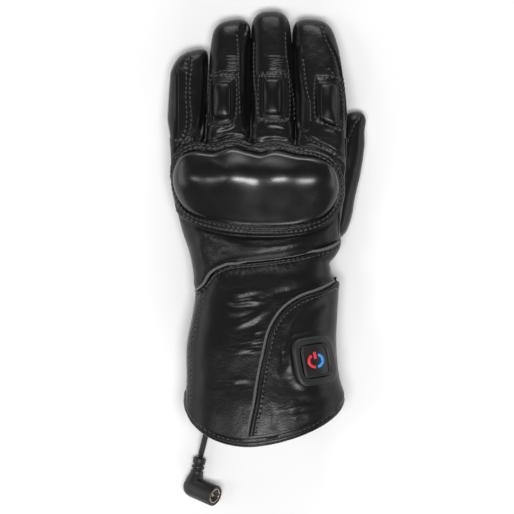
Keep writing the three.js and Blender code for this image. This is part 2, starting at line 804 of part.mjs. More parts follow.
// The tab inside the cuff that the lead comes out of, seated on the lining
function leadGrommet() {
  const [x, y, z] = leadRoute[0];
  const width = 3 * leadDiameter;
  const length = 3.5 * leadDiameter;
  const outline = new THREE.Shape(turns(16).map((turn) => new THREE.Vector2(
    (squared(Math.cos(turn), 4) * width) / 2,
    (squared(Math.sin(turn), 8) * length) / 2,
  )));
  const tab = new THREE.ExtrudeGeometry(outline, { depth: z + leadDiameter, bevelEnabled: false });
  tab.translate(x, y + gap + length / 2, 0);
  return solid(tab).intersect(filled(cuffLining(-wall - gap)));
}

function lead() {
  return bar(leadRoute.map((p) => new THREE.Vector3(...p)), leadDiameter / 2, 8);
}

// A turned piece whose axis starts at a point and runs along a heading.
function turned(profile, sides, start, heading) {
  const lathe = new THREE.LatheGeometry(profile.map(([r, h]) => new THREE.Vector2(r, h)), sides);
  lathe.applyQuaternion(new THREE.Quaternion().setFromUnitVectors(new THREE.Vector3(0, 1, 0), heading));
  lathe.translate(start.x, start.y, start.z);
  return solid(lathe);
}

const elbow = stemTop.clone().addScaledVector(stemHeading, stemLength);
const barrelRadius = barrelDiameter / 2;
const collarRadius = collarDiameter / 2;

function plugBody() {
  const groove = 0.86 * collarRadius;
  const stem = turned([
    [0, 0],
    [0.9 * collarRadius, 0],
    [collarRadius, 0.04 * stemLength],
    [collarRadius, 0.21 * stemLength],
    [groove, 0.24 * stemLength],
    [groove, 0.29 * stemLength],
    [collarRadius, 0.32 * stemLength],
    [collarRadius, 0.37 * stemLength],
    [groove, 0.4 * stemLength],
    [groove, 0.45 * stemLength],
    [collarRadius, 0.48 * stemLength],
    [0.8 * barrelRadius, 0.78 * stemLength],
    [0.88 * barrelRadius, stemLength],
    [0, stemLength],
  ], 14, stemTop, stemHeading);
  const heel = steps(-Math.PI / 2, 0, 5).map((turn) => [barrelRadius * Math.cos(turn), barrelRadius * Math.sin(turn)]);
  heel[0][0] = 0;
  const bore = sleeveDiameter / 2 + gap;
  const barrel = turned([
    ...heel,
    [barrelRadius, barrelLength - 0.6],
    [barrelRadius - 0.6, barrelLength],
    [bore, barrelLength],
    [bore, barrelLength - socketDepth],
    [0, barrelLength - socketDepth],
  ], 20, elbow, barrelHeading);
  return stem.add(barrel);
}

function plugSleeve() {
  const low = barrelLength - socketDepth + gap;
  const high = barrelLength - 0.5;
  return turned([
    [boreDiameter / 2, low],
    [sleeveDiameter / 2, low],
    [sleeveDiameter / 2, high],
    [boreDiameter / 2, high],
    [boreDiameter / 2, low],
  ], 16, elbow, barrelHeading);
}

function plugPin() {
  const low = barrelLength - socketDepth + gap;
  const high = barrelLength - 1.5;
  return turned([
    [0, low],
    [pinDiameter / 2, low],
    [pinDiameter / 2, high - pinDiameter / 2],
    [pinDiameter / 4, high],
    [0, high],
  ], 10, elbow, barrelHeading);
}

// Finishes
const leather = new THREE.MeshStandardMaterial({ color: 0x1d1d1c, roughness: 0.45, metalness: 0 });
const panelLeather = new THREE.MeshStandardMaterial({ color: 0x212120, roughness: 0.5, metalness: 0 });
const padLeather = new THREE.MeshStandardMaterial({ color: 0x181818, roughness: 0.35, metalness: 0 });
const guardShell = new THREE.MeshStandardMaterial({ color: 0x141414, roughness: 0.25, metalness: 0 });
const piping = new THREE.MeshStandardMaterial({ color: 0x6a6c6c, roughness: 0.4, metalness: 0 });
const rubber = new THREE.MeshStandardMaterial({ color: 0x16181a, roughness: 0.55, metalness: 0 });
const steel = new THREE.MeshStandardMaterial({ color: 0xb8b8b8, roughness: 0.25, metalness: 1 });

const glove = new THREE.Group();

function add(name, form, material) {
  const made = form.getMesh();
  const geometry = new THREE.BufferGeometry();
  geometry.setAttribute("position", new THREE.BufferAttribute(Float32Array.from(made.vertProperties), 3));
  geometry.setIndex(new THREE.BufferAttribute(Uint32Array.from(made.triVerts), 1));
  geometry.computeVertexNormals();
  const mesh = new THREE.Mesh(geometry, material);
  mesh.name = name;
  glove.add(mesh);
}

add("hand_shell", handShell(), leather);
for (const finger of fingers) {
  add(`${finger.name}_finger`, fingerShell(finger), leather);
  if (finger.pad) {
    add(`${finger.name}_pad`, fingerPad(finger), padLeather);
  }
}
add("thumb", thumbShell(), leather);
add("cuff", cuffShell(), leather);
add("cuff_flap", flapSheet(), panelLeather);
add("hem_binding", hemBinding(), panelLeather);
add("knuckle_guard", knuckleGuard(), guardShell);
add("wrist_piping", wristPiping(), piping);
add("flap_piping", flapPiping(), piping);
add("control_bezel", controlBezel(), rubber);
add("control_button", controlButton(), rubber);
add("lead_grommet", leadGrommet(), rubber);
add("lead", lead(), rubber);
add("plug_body", plugBody(), rubber);
add("plug_sleeve", plugSleeve(), steel);
add("plug_pin", plugPin(), steel);

export default glove;
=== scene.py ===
import math

import bpy
import numpy as np
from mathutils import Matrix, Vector
from mathutils.bvhtree import BVHTree


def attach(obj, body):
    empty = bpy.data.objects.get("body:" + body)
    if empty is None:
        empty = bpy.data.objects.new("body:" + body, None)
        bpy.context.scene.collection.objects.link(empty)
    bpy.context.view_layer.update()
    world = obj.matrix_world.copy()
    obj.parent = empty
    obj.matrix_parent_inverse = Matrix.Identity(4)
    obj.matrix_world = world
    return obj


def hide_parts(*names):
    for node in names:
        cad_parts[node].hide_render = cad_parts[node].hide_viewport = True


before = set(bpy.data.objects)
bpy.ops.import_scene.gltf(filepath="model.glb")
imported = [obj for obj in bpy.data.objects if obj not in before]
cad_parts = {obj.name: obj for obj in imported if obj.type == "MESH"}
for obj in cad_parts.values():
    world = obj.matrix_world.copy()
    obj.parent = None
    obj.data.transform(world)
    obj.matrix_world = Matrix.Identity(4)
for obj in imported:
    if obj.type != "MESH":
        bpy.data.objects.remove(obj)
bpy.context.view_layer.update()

# A heated gauntlet glove in black leather, palm down on a pale floor. The tables hold millimetres
# in the frame of the solids; a mesh is turned into metres as it is made.
MM = 0.001
PICTURE_SIDE = 514

# The hand and the cuff
WALL = 3.5
WRIST_Y = -27.3
HAND_LENGTH = 93.3
CUFF_LENGTH = 120.4
KNUCKLE_WIDTH = 122
KNUCKLE_HEIGHT = 51
WRIST_WIDTH = 95.5
WRIST_HEIGHT = 46
HEM_WIDTH = 112.5
HEM_HEIGHT = 63
SEAM_RISE = 19
HEM_RISE = 31.5
HEM_TUCK = 2.3
THUMB_SIDE_LIFT = 5.3
FINGER_LINE = WRIST_Y + HAND_LENGTH
HEM_Y = WRIST_Y - CUFF_LENGTH

# The fingers and the thumb
FINGER_LENGTH = 89.8
FINGER_HEIGHT = 26
TIP_HEIGHT = 22
FINGER_GAP = 0.8

# How far the padding stands out on a finger's left, on its right and at its tip
SIDE_FULLNESS = {"little": (2.5, 0.5), "ring": (0.7, 0.6), "middle": (0.6, 1.2), "index": (1.2, 2.4)}
TIP_FULLNESS = {"little": 0, "ring": 1.3, "middle": 1.3, "index": 1.3}
THUMB_FULLNESS = 1.5
THUMB_LENGTH = 95.5
THUMB_WIDTH = 27
THUMB_HEIGHT = 25
THUMB_ROOT = WRIST_Y + 0.2 * HAND_LENGTH

# How square the sections are: the body's and a finger's beyond the web, a finger's at the web
SECTION_CORNER = 2.4
WEB_CORNER = 4.5
THUMB_CORNER = 2.2

# Trim, guard, controller and lead
FLAP_FACE = 2.1
BINDING_THICKNESS = 1.1
BINDING_WIDTH = 7
HEM_FURROW = 4.1
PIPING_RADIUS = 0.95
GUARD_WIDTH = 110
GUARD_LENGTH = 51
GUARD_HEIGHT = 8
GUARD_FALL = 6.8
GUARD_SAG = 1.12
LOBE_HEIGHT = 3.4
LOBE_SETBACK = 0.03
PAD_HEIGHT = 3
BEZEL = (25.5, 33, 4.4)
BUTTON = (16.3, 22)
BEZEL_CORNER = 4.4
BUTTON_CORNER = 7
LEAD_DIAMETER = 4
STEM_LENGTH = 21.3
BARREL_RADIUS = 7.5
BARREL_LENGTH = 19.6
COLLAR_RADIUS = 4.5

# Stitches
STITCH_LENGTH = 2.3
STITCH_PITCH = 3.3
THREAD_RADIUS = 0.36
THREAD_LIFT = 0.12

# The drawing that the seams are laid out on: its steps in millimetres and its middle
PLAN_STEP = 0.7
PLAN_MIDDLE = (262, 236)

# The hand: along, middle, width, back, palm, lift, roundness of the back and of the palm
HAND_ROWS = [
    (0.15, -0.003, 0.823, 0.925, -0.03, 0.1, 2.3, 3),
    (0.3, -0.009, 0.888, 0.957, -0.05, 0.3, 2.3, 3),
    (0.5, -0.015, 0.952, 0.99, -0.02, 0.6, 2.35, 2.9),
    (0.7, -0.025, 0.991, 1, 0.13, 0.9, 2.5, 2.8),
    (0.86, -0.023, 0.998, 0.95, 0.25, 1, 2.8, 2.9),
    (1, -0.024, 1.004, 0.89, 0.28, 1, 3.2, 3.2),
]

# The cuff: along, middle, width, back, palm
CUFF_ROWS = [
    (0.087, 0.022, 0.865, 0.762, 0.01),
    (0.227, 0.01, 0.878, 0.81, -0.01),
    (0.413, -0.012, 0.908, 0.873, -0.016),
    (0.6, -0.003, 0.927, 0.93, -0.016),
    (0.738, 0.014, 0.975, 0.968, -0.016),
    (1, 0.016, 1, 1, -0.016),
]

# The wrist seam: its rise as a share of the whole, from the little finger's side to the thumb's
SEAM_COLUMNS = ("across", "rise")
SEAM_ROWS = [(-1, -0.58), (-0.8, -0.13), (-0.6, 0.23), (-0.35, 0.42), (0, 0.505), (0.5, 0.66), (1, 1)]
FINGER_COLUMNS = ("name", "width", "length", "shift", "taper", "lean")
FINGER_ROWS = [
    ("little", 0.203, 0.707, 0.031, 0.96, 0.28),
    ("ring", 0.257, 0.933, 0.028, 0.86, 0.14),
    ("middle", 0.253, 1, -0.023, 0.86, 0.03),
    ("index", 0.287, 0.938, -0.068, 0.8, -0.07),
]
PAD_COLUMNS = ("name", "along", "across", "width", "length", "slant")
PAD_ROWS = [
    ("ring", 0.32, -0.33, 0.46, 0.3, 0),
    ("middle", 0.325, -0.02, 0.46, 0.29, 0),
    ("index", 0.29, 0.36, 0.4, 0.34, 0.14),
]
THUMB_COLUMNS = ("along", "middle", "width")
THUMB_ROWS = [
    (0, 0.325, 0.88), (0.1, 0.361, 1), (0.216, 0.396, 0.98), (0.352, 0.422, 0.92),
    (0.572, 0.47, 0.83), (0.79, 0.502, 0.755), (0.908, 0.522, 0.7), (1, 0.545, 0.64),
]

# The guard's outline, as shares of its width and length from its middle
GUARD_OUTLINE = [
    (-0.5, 0.09), (-0.46, 0.37), (-0.38, 0.46), (-0.255, 0.44), (-0.15, 0.515), (-0.05, 0.457),
    (0.03, 0.415), (0.12, 0.465), (0.25, 0.395), (0.37, 0.355), (0.46, 0.235), (0.5, -0.03),
    (0.478, -0.244), (0.4, -0.395), (0.26, -0.474), (0.05, -0.495), (-0.18, -0.465),
    (-0.38, -0.359), (-0.47, -0.2),
]

# The guard's lobes: across, along, height
LOBE_ROWS = [(-0.376, 0.17, 0.85), (-0.127, 0.19, 1), (0.121, 0.16, 0.95), (0.357, 0.1, 0.8)]

# The flap's edge: across as a share of the hem's width, along as a share of the cuff's length
FLAP_EDGE = [
    (0.47, 0.03), (0.43, 0.058), (0.35, 0.095), (0.23, 0.135), (0.12, 0.208), (0.045, 0.32),
    (0.01, 0.45), (-0.02, 0.58), (-0.045, 0.73), (-0.072, 0.85), (-0.1, 1.02),
]
CONTROLLER = {"across": 0.288, "along": 0.494, "turn": 9.5}

# The lead's route, the same points as its solid's
LEAD_ROUTE = [
    (-35.5, -100, 10.4), (-35.8, -106, 10.6), (-36.3, -113, 11.2), (-36.9, -120, 12.2),
    (-37.5, -127, 13.1), (-38.2, -133, 13.4), (-39.2, -139, 13.1), (-40.4, -144.5, 11.8),
    (-41.6, -149.5, 9.8), (-42.6, -153.3, 8.2), (-43.4, -156.5, 7.2),
]
STEM_TOP = np.array((-43.67, -157.2, 7))
STEM_HEADING = np.array((-0.206, -0.978, 0.023))
BARREL_HEADING = np.array((0.789, -0.283, 0.545))


def camera():
    """Looks straight down on the back of the hand, with the fingertips at the top of the picture."""
    lens, sensor = 150, 36
    across, along, height = -3.5, -15.9, 20
    away = PICTURE_SIDE * PLAN_STEP * lens / sensor
    eye = bpy.data.cameras.new("camera")
    eye.lens = lens
    eye.sensor_width = sensor
    eye.clip_start = 0.05
    placed = bpy.data.objects.new("camera", eye)
    placed.location = (across * MM, along * MM, (height + away) * MM)
    bpy.context.collection.objects.link(placed)
    bpy.context.scene.camera = placed


# Curves and number helpers

def lerp(start, end, share):
    """A share of the way from a start to an end."""
    return start + (end - start) * share


def smoothstep(value, low, high):
    """0 below low, 1 above high, and the cubic 3s² − 2s³ between."""
    share = np.clip((value - low) / (high - low), 0, 1)
    return share * share * (3 - 2 * share)


def arch(across, corner):
    """The height of a rounded box's edge: (1 − |across|^corner)^(1/corner)."""
    return (1 - np.minimum(np.abs(across), 1) ** corner) ** (1 / corner)


def bent(value, corner):
    """A cosine or sine pulled towards a rounded box's corner: its sign times its size^(2/corner)."""
    return np.sign(value) * np.abs(value) ** (2 / corner)


def bell(value, middle, width):
    """A bell shape round a middle: e^(−((value − middle) / width)²)."""
    return np.exp(-((value - middle) / width) ** 2)


def full_turn(sides):
    """The angles of a ring of corners."""
    return np.linspace(0, 2 * np.pi, sides, endpoint=False)


def column(names, rows, key, name):
    """One column of a table as a curve: a cubic between two rows, whose slope at a row is the slope
    between the rows before and after it."""
    at = np.array([row[names.index(key)] for row in rows], dtype=float)
    value = np.array([row[names.index(name)] for row in rows], dtype=float)
    order = np.argsort(at)
    at, value = at[order], value[order]
    before = np.maximum(np.arange(len(at)) - 1, 0)
    after = np.minimum(np.arange(len(at)) + 1, len(at) - 1)
    slope = (value[after] - value[before]) / (at[after] - at[before])

    def read(where):
        """The curve's value: both ends' values and slopes weighed by the cubic's four shares."""
        i = np.clip(np.searchsorted(at, where) - 1, 0, len(at) - 2)
        span = at[i + 1] - at[i]
        t = np.clip((where - at[i]) / span, 0, 1)
        ends = value[i] * (1 + 2 * t) * (1 - t) ** 2 + value[i + 1] * t * t * (3 - 2 * t)
        return ends + (slope[i] * t * (1 - t) ** 2 - slope[i + 1] * t * t * (1 - t)) * span

    return read


def plan(*places):
    """Places on the drawing, in steps right and down, as millimetres across and along the glove."""
    return (np.array(places, dtype=float) - PLAN_MIDDLE) * (PLAN_STEP, -PLAN_STEP)


def line(points, step=1.5, closed=False):
    """A smooth line through points, as points a step apart: between two points it is the cubic whose
    slopes are half of the chord between their neighbours."""
    points = np.asarray(points, dtype=float)
    if closed:
        ring = np.vstack([points[-1], points, points[:2]])
    else:
        ring = np.vstack([2 * points[0] - points[1], points, 2 * points[-1] - points[-2]])
    t = np.linspace(0, 1, 16, endpoint=False)[:, None]
    parts = []
    for before, a, b, after in zip(ring, ring[1:], ring[2:], ring[3:]):
        rise, fall = (b - before) / 2, (after - a) / 2
        start = a * (1 + 2 * t) * (1 - t) ** 2 + b * t * t * (3 - 2 * t)
        parts.append(start + rise * t * (1 - t) ** 2 - fall * t * t * (1 - t))
    dense = np.vstack([*parts, ring[1] if closed else ring[-2]])
    travelled = np.concatenate([[0], np.cumsum(np.linalg.norm(np.diff(dense, axis=0), axis=1))])
    count = max(int(round(travelled[-1] / step)), 2)
    spots = np.linspace(0, travelled[-1], count + 1)
    return np.stack([np.interp(spots, travelled, dense[:, k]) for k in range(dense.shape[1])], axis=1)


def moved_aside(path, distance):
    """A line in the plane moved to its left by a distance, along its normals."""
    ahead = np.gradient(path, axis=0)
    ahead /= np.linalg.norm(ahead, axis=1, keepdims=True)
    return path + distance * np.stack([-ahead[:, 1], ahead[:, 0]], axis=1)


def beside(path, x, y, reach):
    """How far each place is from a line, which side of it the place is on (left is 1), and how far
    along it the nearest point lies, with the line's whole length: the nearest point of each straight
    stretch, taken in turn."""
    away = np.full(x.shape, 9.0 * reach)
    side = np.ones(x.shape)
    along = np.zeros(x.shape)
    low, high = path.min(axis=0) - reach, path.max(axis=0) + reach
    near = (x > low[0]) & (x < high[0]) & (y > low[1]) & (y < high[1])
    px, py = x[near], y[near]
    best, hand, far = away[near], side[near], along[near]
    travelled = 0.0
    for (ax, ay), (bx, by) in zip(path, path[1:]):
        dx, dy = bx - ax, by - ay
        length = math.hypot(dx, dy)
        share = np.clip(((px - ax) * dx + (py - ay) * dy) / length ** 2, 0, 1)
        gap = np.hypot(px - ax - share * dx, py - ay - share * dy)
        closer = gap < best
        best = np.where(closer, gap, best)
        hand = np.where(closer, np.where(dx * (py - ay) >= dy * (px - ax), 1.0, -1.0), hand)
        far = np.where(closer, travelled + share * length, far)
        travelled += length
    away[near], side[near], along[near] = best, hand, far
    return away, side, along, travelled


def fading(along, length, run):
    """1 along a line, falling smoothly to 0 over a run at both of its ends."""
    return smoothstep(np.minimum(along, length - along), 0, run)


def swell(x, y, size, seed):
    """Smooth random heights from -1 to 1: random numbers at the corners of squares of a size, joined
    by the cubic step between the corners."""
    corners = np.random.default_rng(seed).uniform(-1, 1, (97, 97))
    u, v = x / size + 211.3, y / size + 307.7
    i, j = np.floor(u).astype(int), np.floor(v).astype(int)
    s, t = smoothstep(u - i, 0, 1), smoothstep(v - j, 0, 1)
    i, j = i % 96, j % 96
    low = lerp(corners[i, j], corners[i + 1, j], s)
    high = lerp(corners[i, j + 1], corners[i + 1, j + 1], s)
    return lerp(low, high, t)


# Meshes

def made(name, corners, faces, finishes, finish_of=None):
    """A mesh object from corners in millimetres and faces, turned outwards by its signed volume."""
    corners = np.asarray(corners, dtype=float) * MM
    volume = 0.0
    for block in faces:
        first = corners[block[:, 0]]
        for k in range(1, block.shape[1] - 1):
            square = np.cross(corners[block[:, k]], corners[block[:, k + 1]])
            volume += np.einsum("ij,ij->i", first, square).sum()
    if volume < 0:
        faces = [block[:, ::-1] for block in faces]
    mesh = bpy.data.meshes.new(name)
    mesh.from_pydata(corners.tolist(), [], [face for block in faces for face in block.tolist()])
    mesh.update()
    mesh.shade_smooth()
    for finish in finishes:
        mesh.materials.append(finish)
    if finish_of is not None:
        mesh.polygons.foreach_set("material_index", np.asarray(finish_of, dtype=np.int32))
    piece = bpy.data.objects.new(name, mesh)
    bpy.context.collection.objects.link(piece)
    return piece


def grid_faces(rows, columns, around=False, start=0):
    """Four-sided faces between neighbouring rows and columns of a grid of corners."""
    i = np.arange(rows - 1)[:, None]
    j = np.arange(columns if around else columns - 1)[None, :]
    k = (j + 1) % columns
    low, high = i * columns, (i + 1) * columns
    return np.stack([low + j, low + k, high + k, high + j], axis=-1).reshape(-1, 4) + start


def ring_skin(name, rings, finishes, closed=False, first_pole=False, last_pole=False, finish_of=None):
    """A skin through rings of corners. It is closed by joining the last ring to the first, or by a
    fan of three-sided faces to the middle of an end ring."""
    rings = np.asarray(rings, dtype=float)
    count, sides = rings.shape[:2]
    corners = rings.reshape(-1, 3)
    faces = [grid_faces(count, sides, around=True)]
    j = np.arange(sides)
    k = (j + 1) % sides
    if closed:
        last = (count - 1) * sides
        faces.append(np.stack([last + j, last + k, k, j], axis=1))
    if first_pole:
        corners = np.vstack([corners, rings[0].mean(axis=0)])
        faces.append(np.stack([np.full(sides, len(corners) - 1), k, j], axis=1))
    if last_pole:
        last = (count - 1) * sides
        corners = np.vstack([corners, rings[-1].mean(axis=0)])
        faces.append(np.stack([last + j, last + k, np.full(sides, len(corners) - 1)], axis=1))
    return made(name, corners, faces, finishes, finish_of)


def sheet_skin(name, top, under, finishes):
    """A closed sheet between two grids of corners of one size, with strips along its four edges."""
    rows, columns = top.shape[:2]
    size = rows * columns
    corners = np.vstack([top.reshape(-1, 3), under.reshape(-1, 3)])
    upper = grid_faces(rows, columns)
    lower = grid_faces(rows, columns, start=size)[:, ::-1]
    index = np.arange(size).reshape(rows, columns)
    rim = np.concatenate([index[0, :-1], index[:-1, -1], index[-1, :0:-1], index[:0:-1, 0]])
    after = np.roll(rim, -1)
    strips = np.stack([after, rim, rim + size, after + size], axis=1)
    return made(name, corners, [upper, lower, strips], finishes)


def normals(grid, around):
    """The outward direction at each corner of a grid: the cross product of its two slopes."""
    rise = np.gradient(grid, axis=0)
    if around:
        turn = np.roll(grid, -1, axis=1) - np.roll(grid, 1, axis=1)
    else:
        turn = np.gradient(grid, axis=1)
    out = np.cross(turn, rise)
    out /= np.maximum(np.linalg.norm(out, axis=-1, keepdims=True), 1e-9)
    outward = np.einsum("ijk,ijk->", out, grid - grid.mean(axis=(0, 1)))
    return out if outward > 0 else -out


def tube(path, radii, sides, flat=1.0):
    """Rings round a path of 3-D points: each lies square to the path, turned so that its first
    corner stays level, with its own radius and a share of it upwards."""
    ahead = np.gradient(path, axis=0)
    ahead /= np.linalg.norm(ahead, axis=1, keepdims=True)
    aside = np.cross(ahead, (0, 0, 1))
    aside /= np.maximum(np.linalg.norm(aside, axis=1, keepdims=True), 1e-9)
    above = np.cross(aside, ahead)
    turn = full_turn(sides)[None, :, None]
    radii = np.broadcast_to(radii, len(path))[:, None, None]
    around = np.cos(turn) * aside[:, None, :] + flat * np.sin(turn) * above[:, None, :]
    return path[:, None, :] + radii * around


def rider(piece, slot, *nodes):
    """Sets a finished piece on the glove and hides the solids that it stands for."""
    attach(piece, "root")
    if nodes:
        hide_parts(*nodes)
    return piece


# Materials

COAT_ROUGHNESS = 0.2
MIDDLE_TONES = (0.3, 0.7)


def material(name, colour, roughness, specular=0.5, metallic=0.0, coat=0.0, sheen=0.0):
    """A surface with its plain values set on the shader itself. Returns it with its nodes."""
    new = bpy.data.materials.new(name)
    new.use_nodes = True
    nodes, links = new.node_tree.nodes, new.node_tree.links
    shader = nodes["Principled BSDF"]
    shader.inputs["Base Color"].default_value = (*colour, 1)
    shader.inputs["Roughness"].default_value = roughness
    shader.inputs["Specular IOR Level"].default_value = specular
    shader.inputs["Metallic"].default_value = metallic
    shader.inputs["Coat Weight"].default_value = coat
    shader.inputs["Coat Roughness"].default_value = COAT_ROUGHNESS
    shader.inputs["Sheen Weight"].default_value = sheen
    return new, nodes, links, shader


def pattern(nodes, links, kind, scale, stretch=(1, 1, 1), turn=0.0, **settings):
    """A texture node on the piece's own coordinates, stretched and turned by a mapping."""
    place = nodes.new("ShaderNodeTexCoord")
    mapping = nodes.new("ShaderNodeMapping")
    mapping.inputs["Scale"].default_value = stretch
    mapping.inputs["Rotation"].default_value = (0, 0, turn)
    texture = nodes.new(kind)
    texture.inputs["Scale"].default_value = scale
    for key, value in settings.items():
        if key in texture.inputs:
            texture.inputs[key].default_value = value
        else:
            setattr(texture, key, value)
    links.new(place.outputs["Object"], mapping.inputs["Vector"])
    links.new(mapping.outputs["Vector"], texture.inputs["Vector"])
    return texture


def noise(nodes, links, scale, detail=2, **settings):
    """A cloudy noise from 0 to 1 as a height or a tone."""
    return pattern(nodes, links, "ShaderNodeTexNoise", scale, Detail=detail, **settings).outputs["Fac"]


def varied_gloss(nodes, links, shader, tone, low, high, tones=MIDDLE_TONES):
    """The roughness goes from a low to a high value as a tone goes through its middle range."""
    node = nodes.new("ShaderNodeMapRange")
    for name, value in zip(("From Min", "From Max", "To Min", "To Max"), (*tones, low, high)):
        node.inputs[name].default_value = value
    links.new(tone, node.inputs["Value"])
    links.new(node.outputs["Result"], shader.inputs["Roughness"])


def bumped(nodes, links, shader, layers):
    """Bumps laid on each other: each layer is a height, its strength and its depth in millimetres."""
    below = None
    for height, strength, depth in layers:
        bump = nodes.new("ShaderNodeBump")
        bump.inputs["Strength"].default_value = strength
        bump.inputs["Distance"].default_value = depth * MM
        links.new(height, bump.inputs["Height"])
        if below is not None:
            links.new(below, bump.inputs["Normal"])
        below = bump.outputs["Normal"]
    links.new(below, shader.inputs["Normal"])


def leather(name, dark, worn, roughness, grain=1.0):
    """Black cow leather: pebbled grain, pores, long creases, and random patches of lighter, glossier
    wear.
    """
    new, nodes, links, shader = material(name, dark, roughness, specular=0.28)
    pebbles = pattern(nodes, links, "ShaderNodeTexVoronoi", 650, feature="SMOOTH_F1", Smoothness=0.35)
    pores = noise(nodes, links, 2600, detail=3)
    creases = noise(nodes, links, 160, detail=5, stretch=(1, 2.6, 1), turn=0.5, Distortion=1.2)
    patches = noise(nodes, links, 28, detail=3)
    layers = [
        (creases, 0.2 * grain, 0.4),
        (pebbles.outputs["Distance"], 0.3 * grain, 0.16),
        (pores, 0.1 * grain, 0.08),
    ]
    bumped(nodes, links, shader, layers)
    ramp = nodes.new("ShaderNodeValToRGB")
    for element, position, colour in zip(ramp.color_ramp.elements, (0.38, 0.75), (dark, worn)):
        element.position = position
        element.color = (*colour, 1)
    links.new(patches, ramp.inputs["Fac"])
    links.new(ramp.outputs["Color"], shader.inputs["Base Color"])
    varied_gloss(nodes, links, shader, patches, roughness + 0.06, roughness - 0.05)
    return new


def moulded_shell():
    """The guard's smooth, glossy skin with a faint unevenness."""
    new, nodes, links, shader = material("guard_skin", (0.0045, 0.0045, 0.0045), 0.28, coat=0.2)
    uneven = noise(nodes, links, 70)
    fine = noise(nodes, links, 1500)
    bumped(nodes, links, shader, [(uneven, 0.12, 0.6), (fine, 0.08, 0.05)])
    varied_gloss(nodes, links, shader, uneven, 0.25, 0.32)
    return new


def woven(name, colour, roughness, scale):
    """Cloth or thread: crossed waves as a weave, with a soft sheen."""
    new, nodes, links, shader = material(name, colour, roughness, sheen=0.2)
    waves = [pattern(nodes, links, "ShaderNodeTexWave", scale, turn=turn, Distortion=0.4)
             for turn in (0.78, -0.78)]
    bumped(nodes, links, shader, [(wave.outputs["Fac"], 0.35, 0.1) for wave in waves])
    varied_gloss(nodes, links, shader, noise(nodes, links, 140), roughness - 0.06, roughness + 0.06)
    return new


def fleece():
    """The brushed lining: a deep uneven pile."""
    new, nodes, links, shader = material("fleece", (0.012, 0.012, 0.013), 0.95, specular=0.15, sheen=0.5)
    pile = noise(nodes, links, 900, detail=4, Distortion=0.8)
    tufts = noise(nodes, links, 220, detail=3)
    bumped(nodes, links, shader, [(tufts, 0.6, 0.9), (pile, 0.7, 0.4)])
    return new


def plastic(name, colour, roughness, speckle=900):
    """Moulded rubber or plastic with a fine spark-eroded grain."""
    new, nodes, links, shader = material(name, colour, roughness)
    fine = noise(nodes, links, speckle)
    broad = noise(nodes, links, 90)
    bumped(nodes, links, shader, [(fine, 0.25, 0.06), (broad, 0.06, 0.2)])
    varied_gloss(nodes, links, shader, broad, roughness - 0.04, roughness + 0.05)
    return new


def plated():
    """The socket's nickel sleeve and pin, with a turned finish."""
    new, nodes, links, shader = material("nickel", (0.46, 0.36, 0.3), 0.28, metallic=1.0)
    turned = noise(nodes, links, 1300, stretch=(1, 1, 4))
    bumped(nodes, links, shader, [(turned, 0.1, 0.04)])
    varied_gloss(nodes, links, shader, turned, 0.18, 0.3)
    return new


def floor_paint():
    """A plain white floor, a little uneven in its gloss."""
    new, nodes, links, shader = material("floor", (0.9, 0.9, 0.9), 0.75, specular=0.1)
    varied_gloss(nodes, links, shader, noise(nodes, links, 5), 0.7, 0.8, tones=(0, 1))
    return new


LEATHER = leather("leather", (0.0042, 0.0044, 0.0044), (0.0075, 0.0075, 0.0072), 0.33)
PANEL_LEATHER = leather("panel_leather", (0.0048, 0.005, 0.005), (0.008, 0.008, 0.0076), 0.34)
PAD_LEATHER = leather("pad_leather", (0.0045, 0.0045, 0.0045), (0.008, 0.0076, 0.0072), 0.3, grain=0.45)
GUARD_SKIN = moulded_shell()
FLEECE = fleece()
THREAD = woven("thread", (0.03, 0.03, 0.031), 0.36, 2600)
PIPING = woven("piping", (0.07, 0.074, 0.075), 0.36, 1500)
RUBBER = plastic("rubber", (0.006, 0.0068, 0.007), 0.46)
BUTTON_SKIN = plastic("button_skin", (0.005, 0.0052, 0.0054), 0.4, speckle=1400)
NICKEL = plated()
MARK_RED = plastic("mark_red", (0.7, 0.012, 0.035), 0.45)
MARK_BLUE = plastic("mark_blue", (0.02, 0.27, 0.75), 0.45)


# The body of the glove

# The cuff's sections: no lift, and the roundness of the back and of the palm
CUFF_ROUND = (0, 2.3, 3)
BODY_ROWS = [
    *[(WRIST_Y - CUFF_LENGTH * a, HEM_WIDTH * m, HEM_WIDTH * w / 2, HEM_HEIGHT * b, HEM_HEIGHT * p,
       *CUFF_ROUND)
      for a, m, w, b, p in CUFF_ROWS],
    (WRIST_Y, 0, WRIST_WIDTH / 2, WRIST_HEIGHT, 2, *CUFF_ROUND),
    *[(WRIST_Y + HAND_LENGTH * a, KNUCKLE_WIDTH * m, KNUCKLE_WIDTH * w / 2, KNUCKLE_HEIGHT * b,
       KNUCKLE_HEIGHT * p, THUMB_SIDE_LIFT * lift, corner, flat)
      for a, m, w, b, p, lift, corner, flat in HAND_ROWS],
]
BODY_COLUMNS = ("y", "middle", "half", "back", "palm", "lift", "round", "flat")
BODY = {name: column(BODY_COLUMNS, BODY_ROWS, "y", name) for name in BODY_COLUMNS[1:]}
SEAM_SHARE = column(SEAM_COLUMNS, SEAM_ROWS, "across", "rise")


def worked_out_fingers():
    """Each finger's half width, root, reach and tip shift, laid side by side across the knuckles."""
    found = []
    edge = float(BODY["middle"](FINGER_LINE)) - KNUCKLE_WIDTH / 2
    room = KNUCKLE_WIDTH - 3 * FINGER_GAP
    for row in FINGER_ROWS:
        finger = dict(zip(FINGER_COLUMNS, row))
        finger["half"] = room * finger["width"] / 2
        finger["root"] = edge + finger["half"]
        finger["reach"] = FINGER_LENGTH * finger["length"]
        finger["tip"] = FINGER_LENGTH * finger["shift"]
        edge += 2 * finger["half"] + FINGER_GAP
        found.append(finger)
    return found


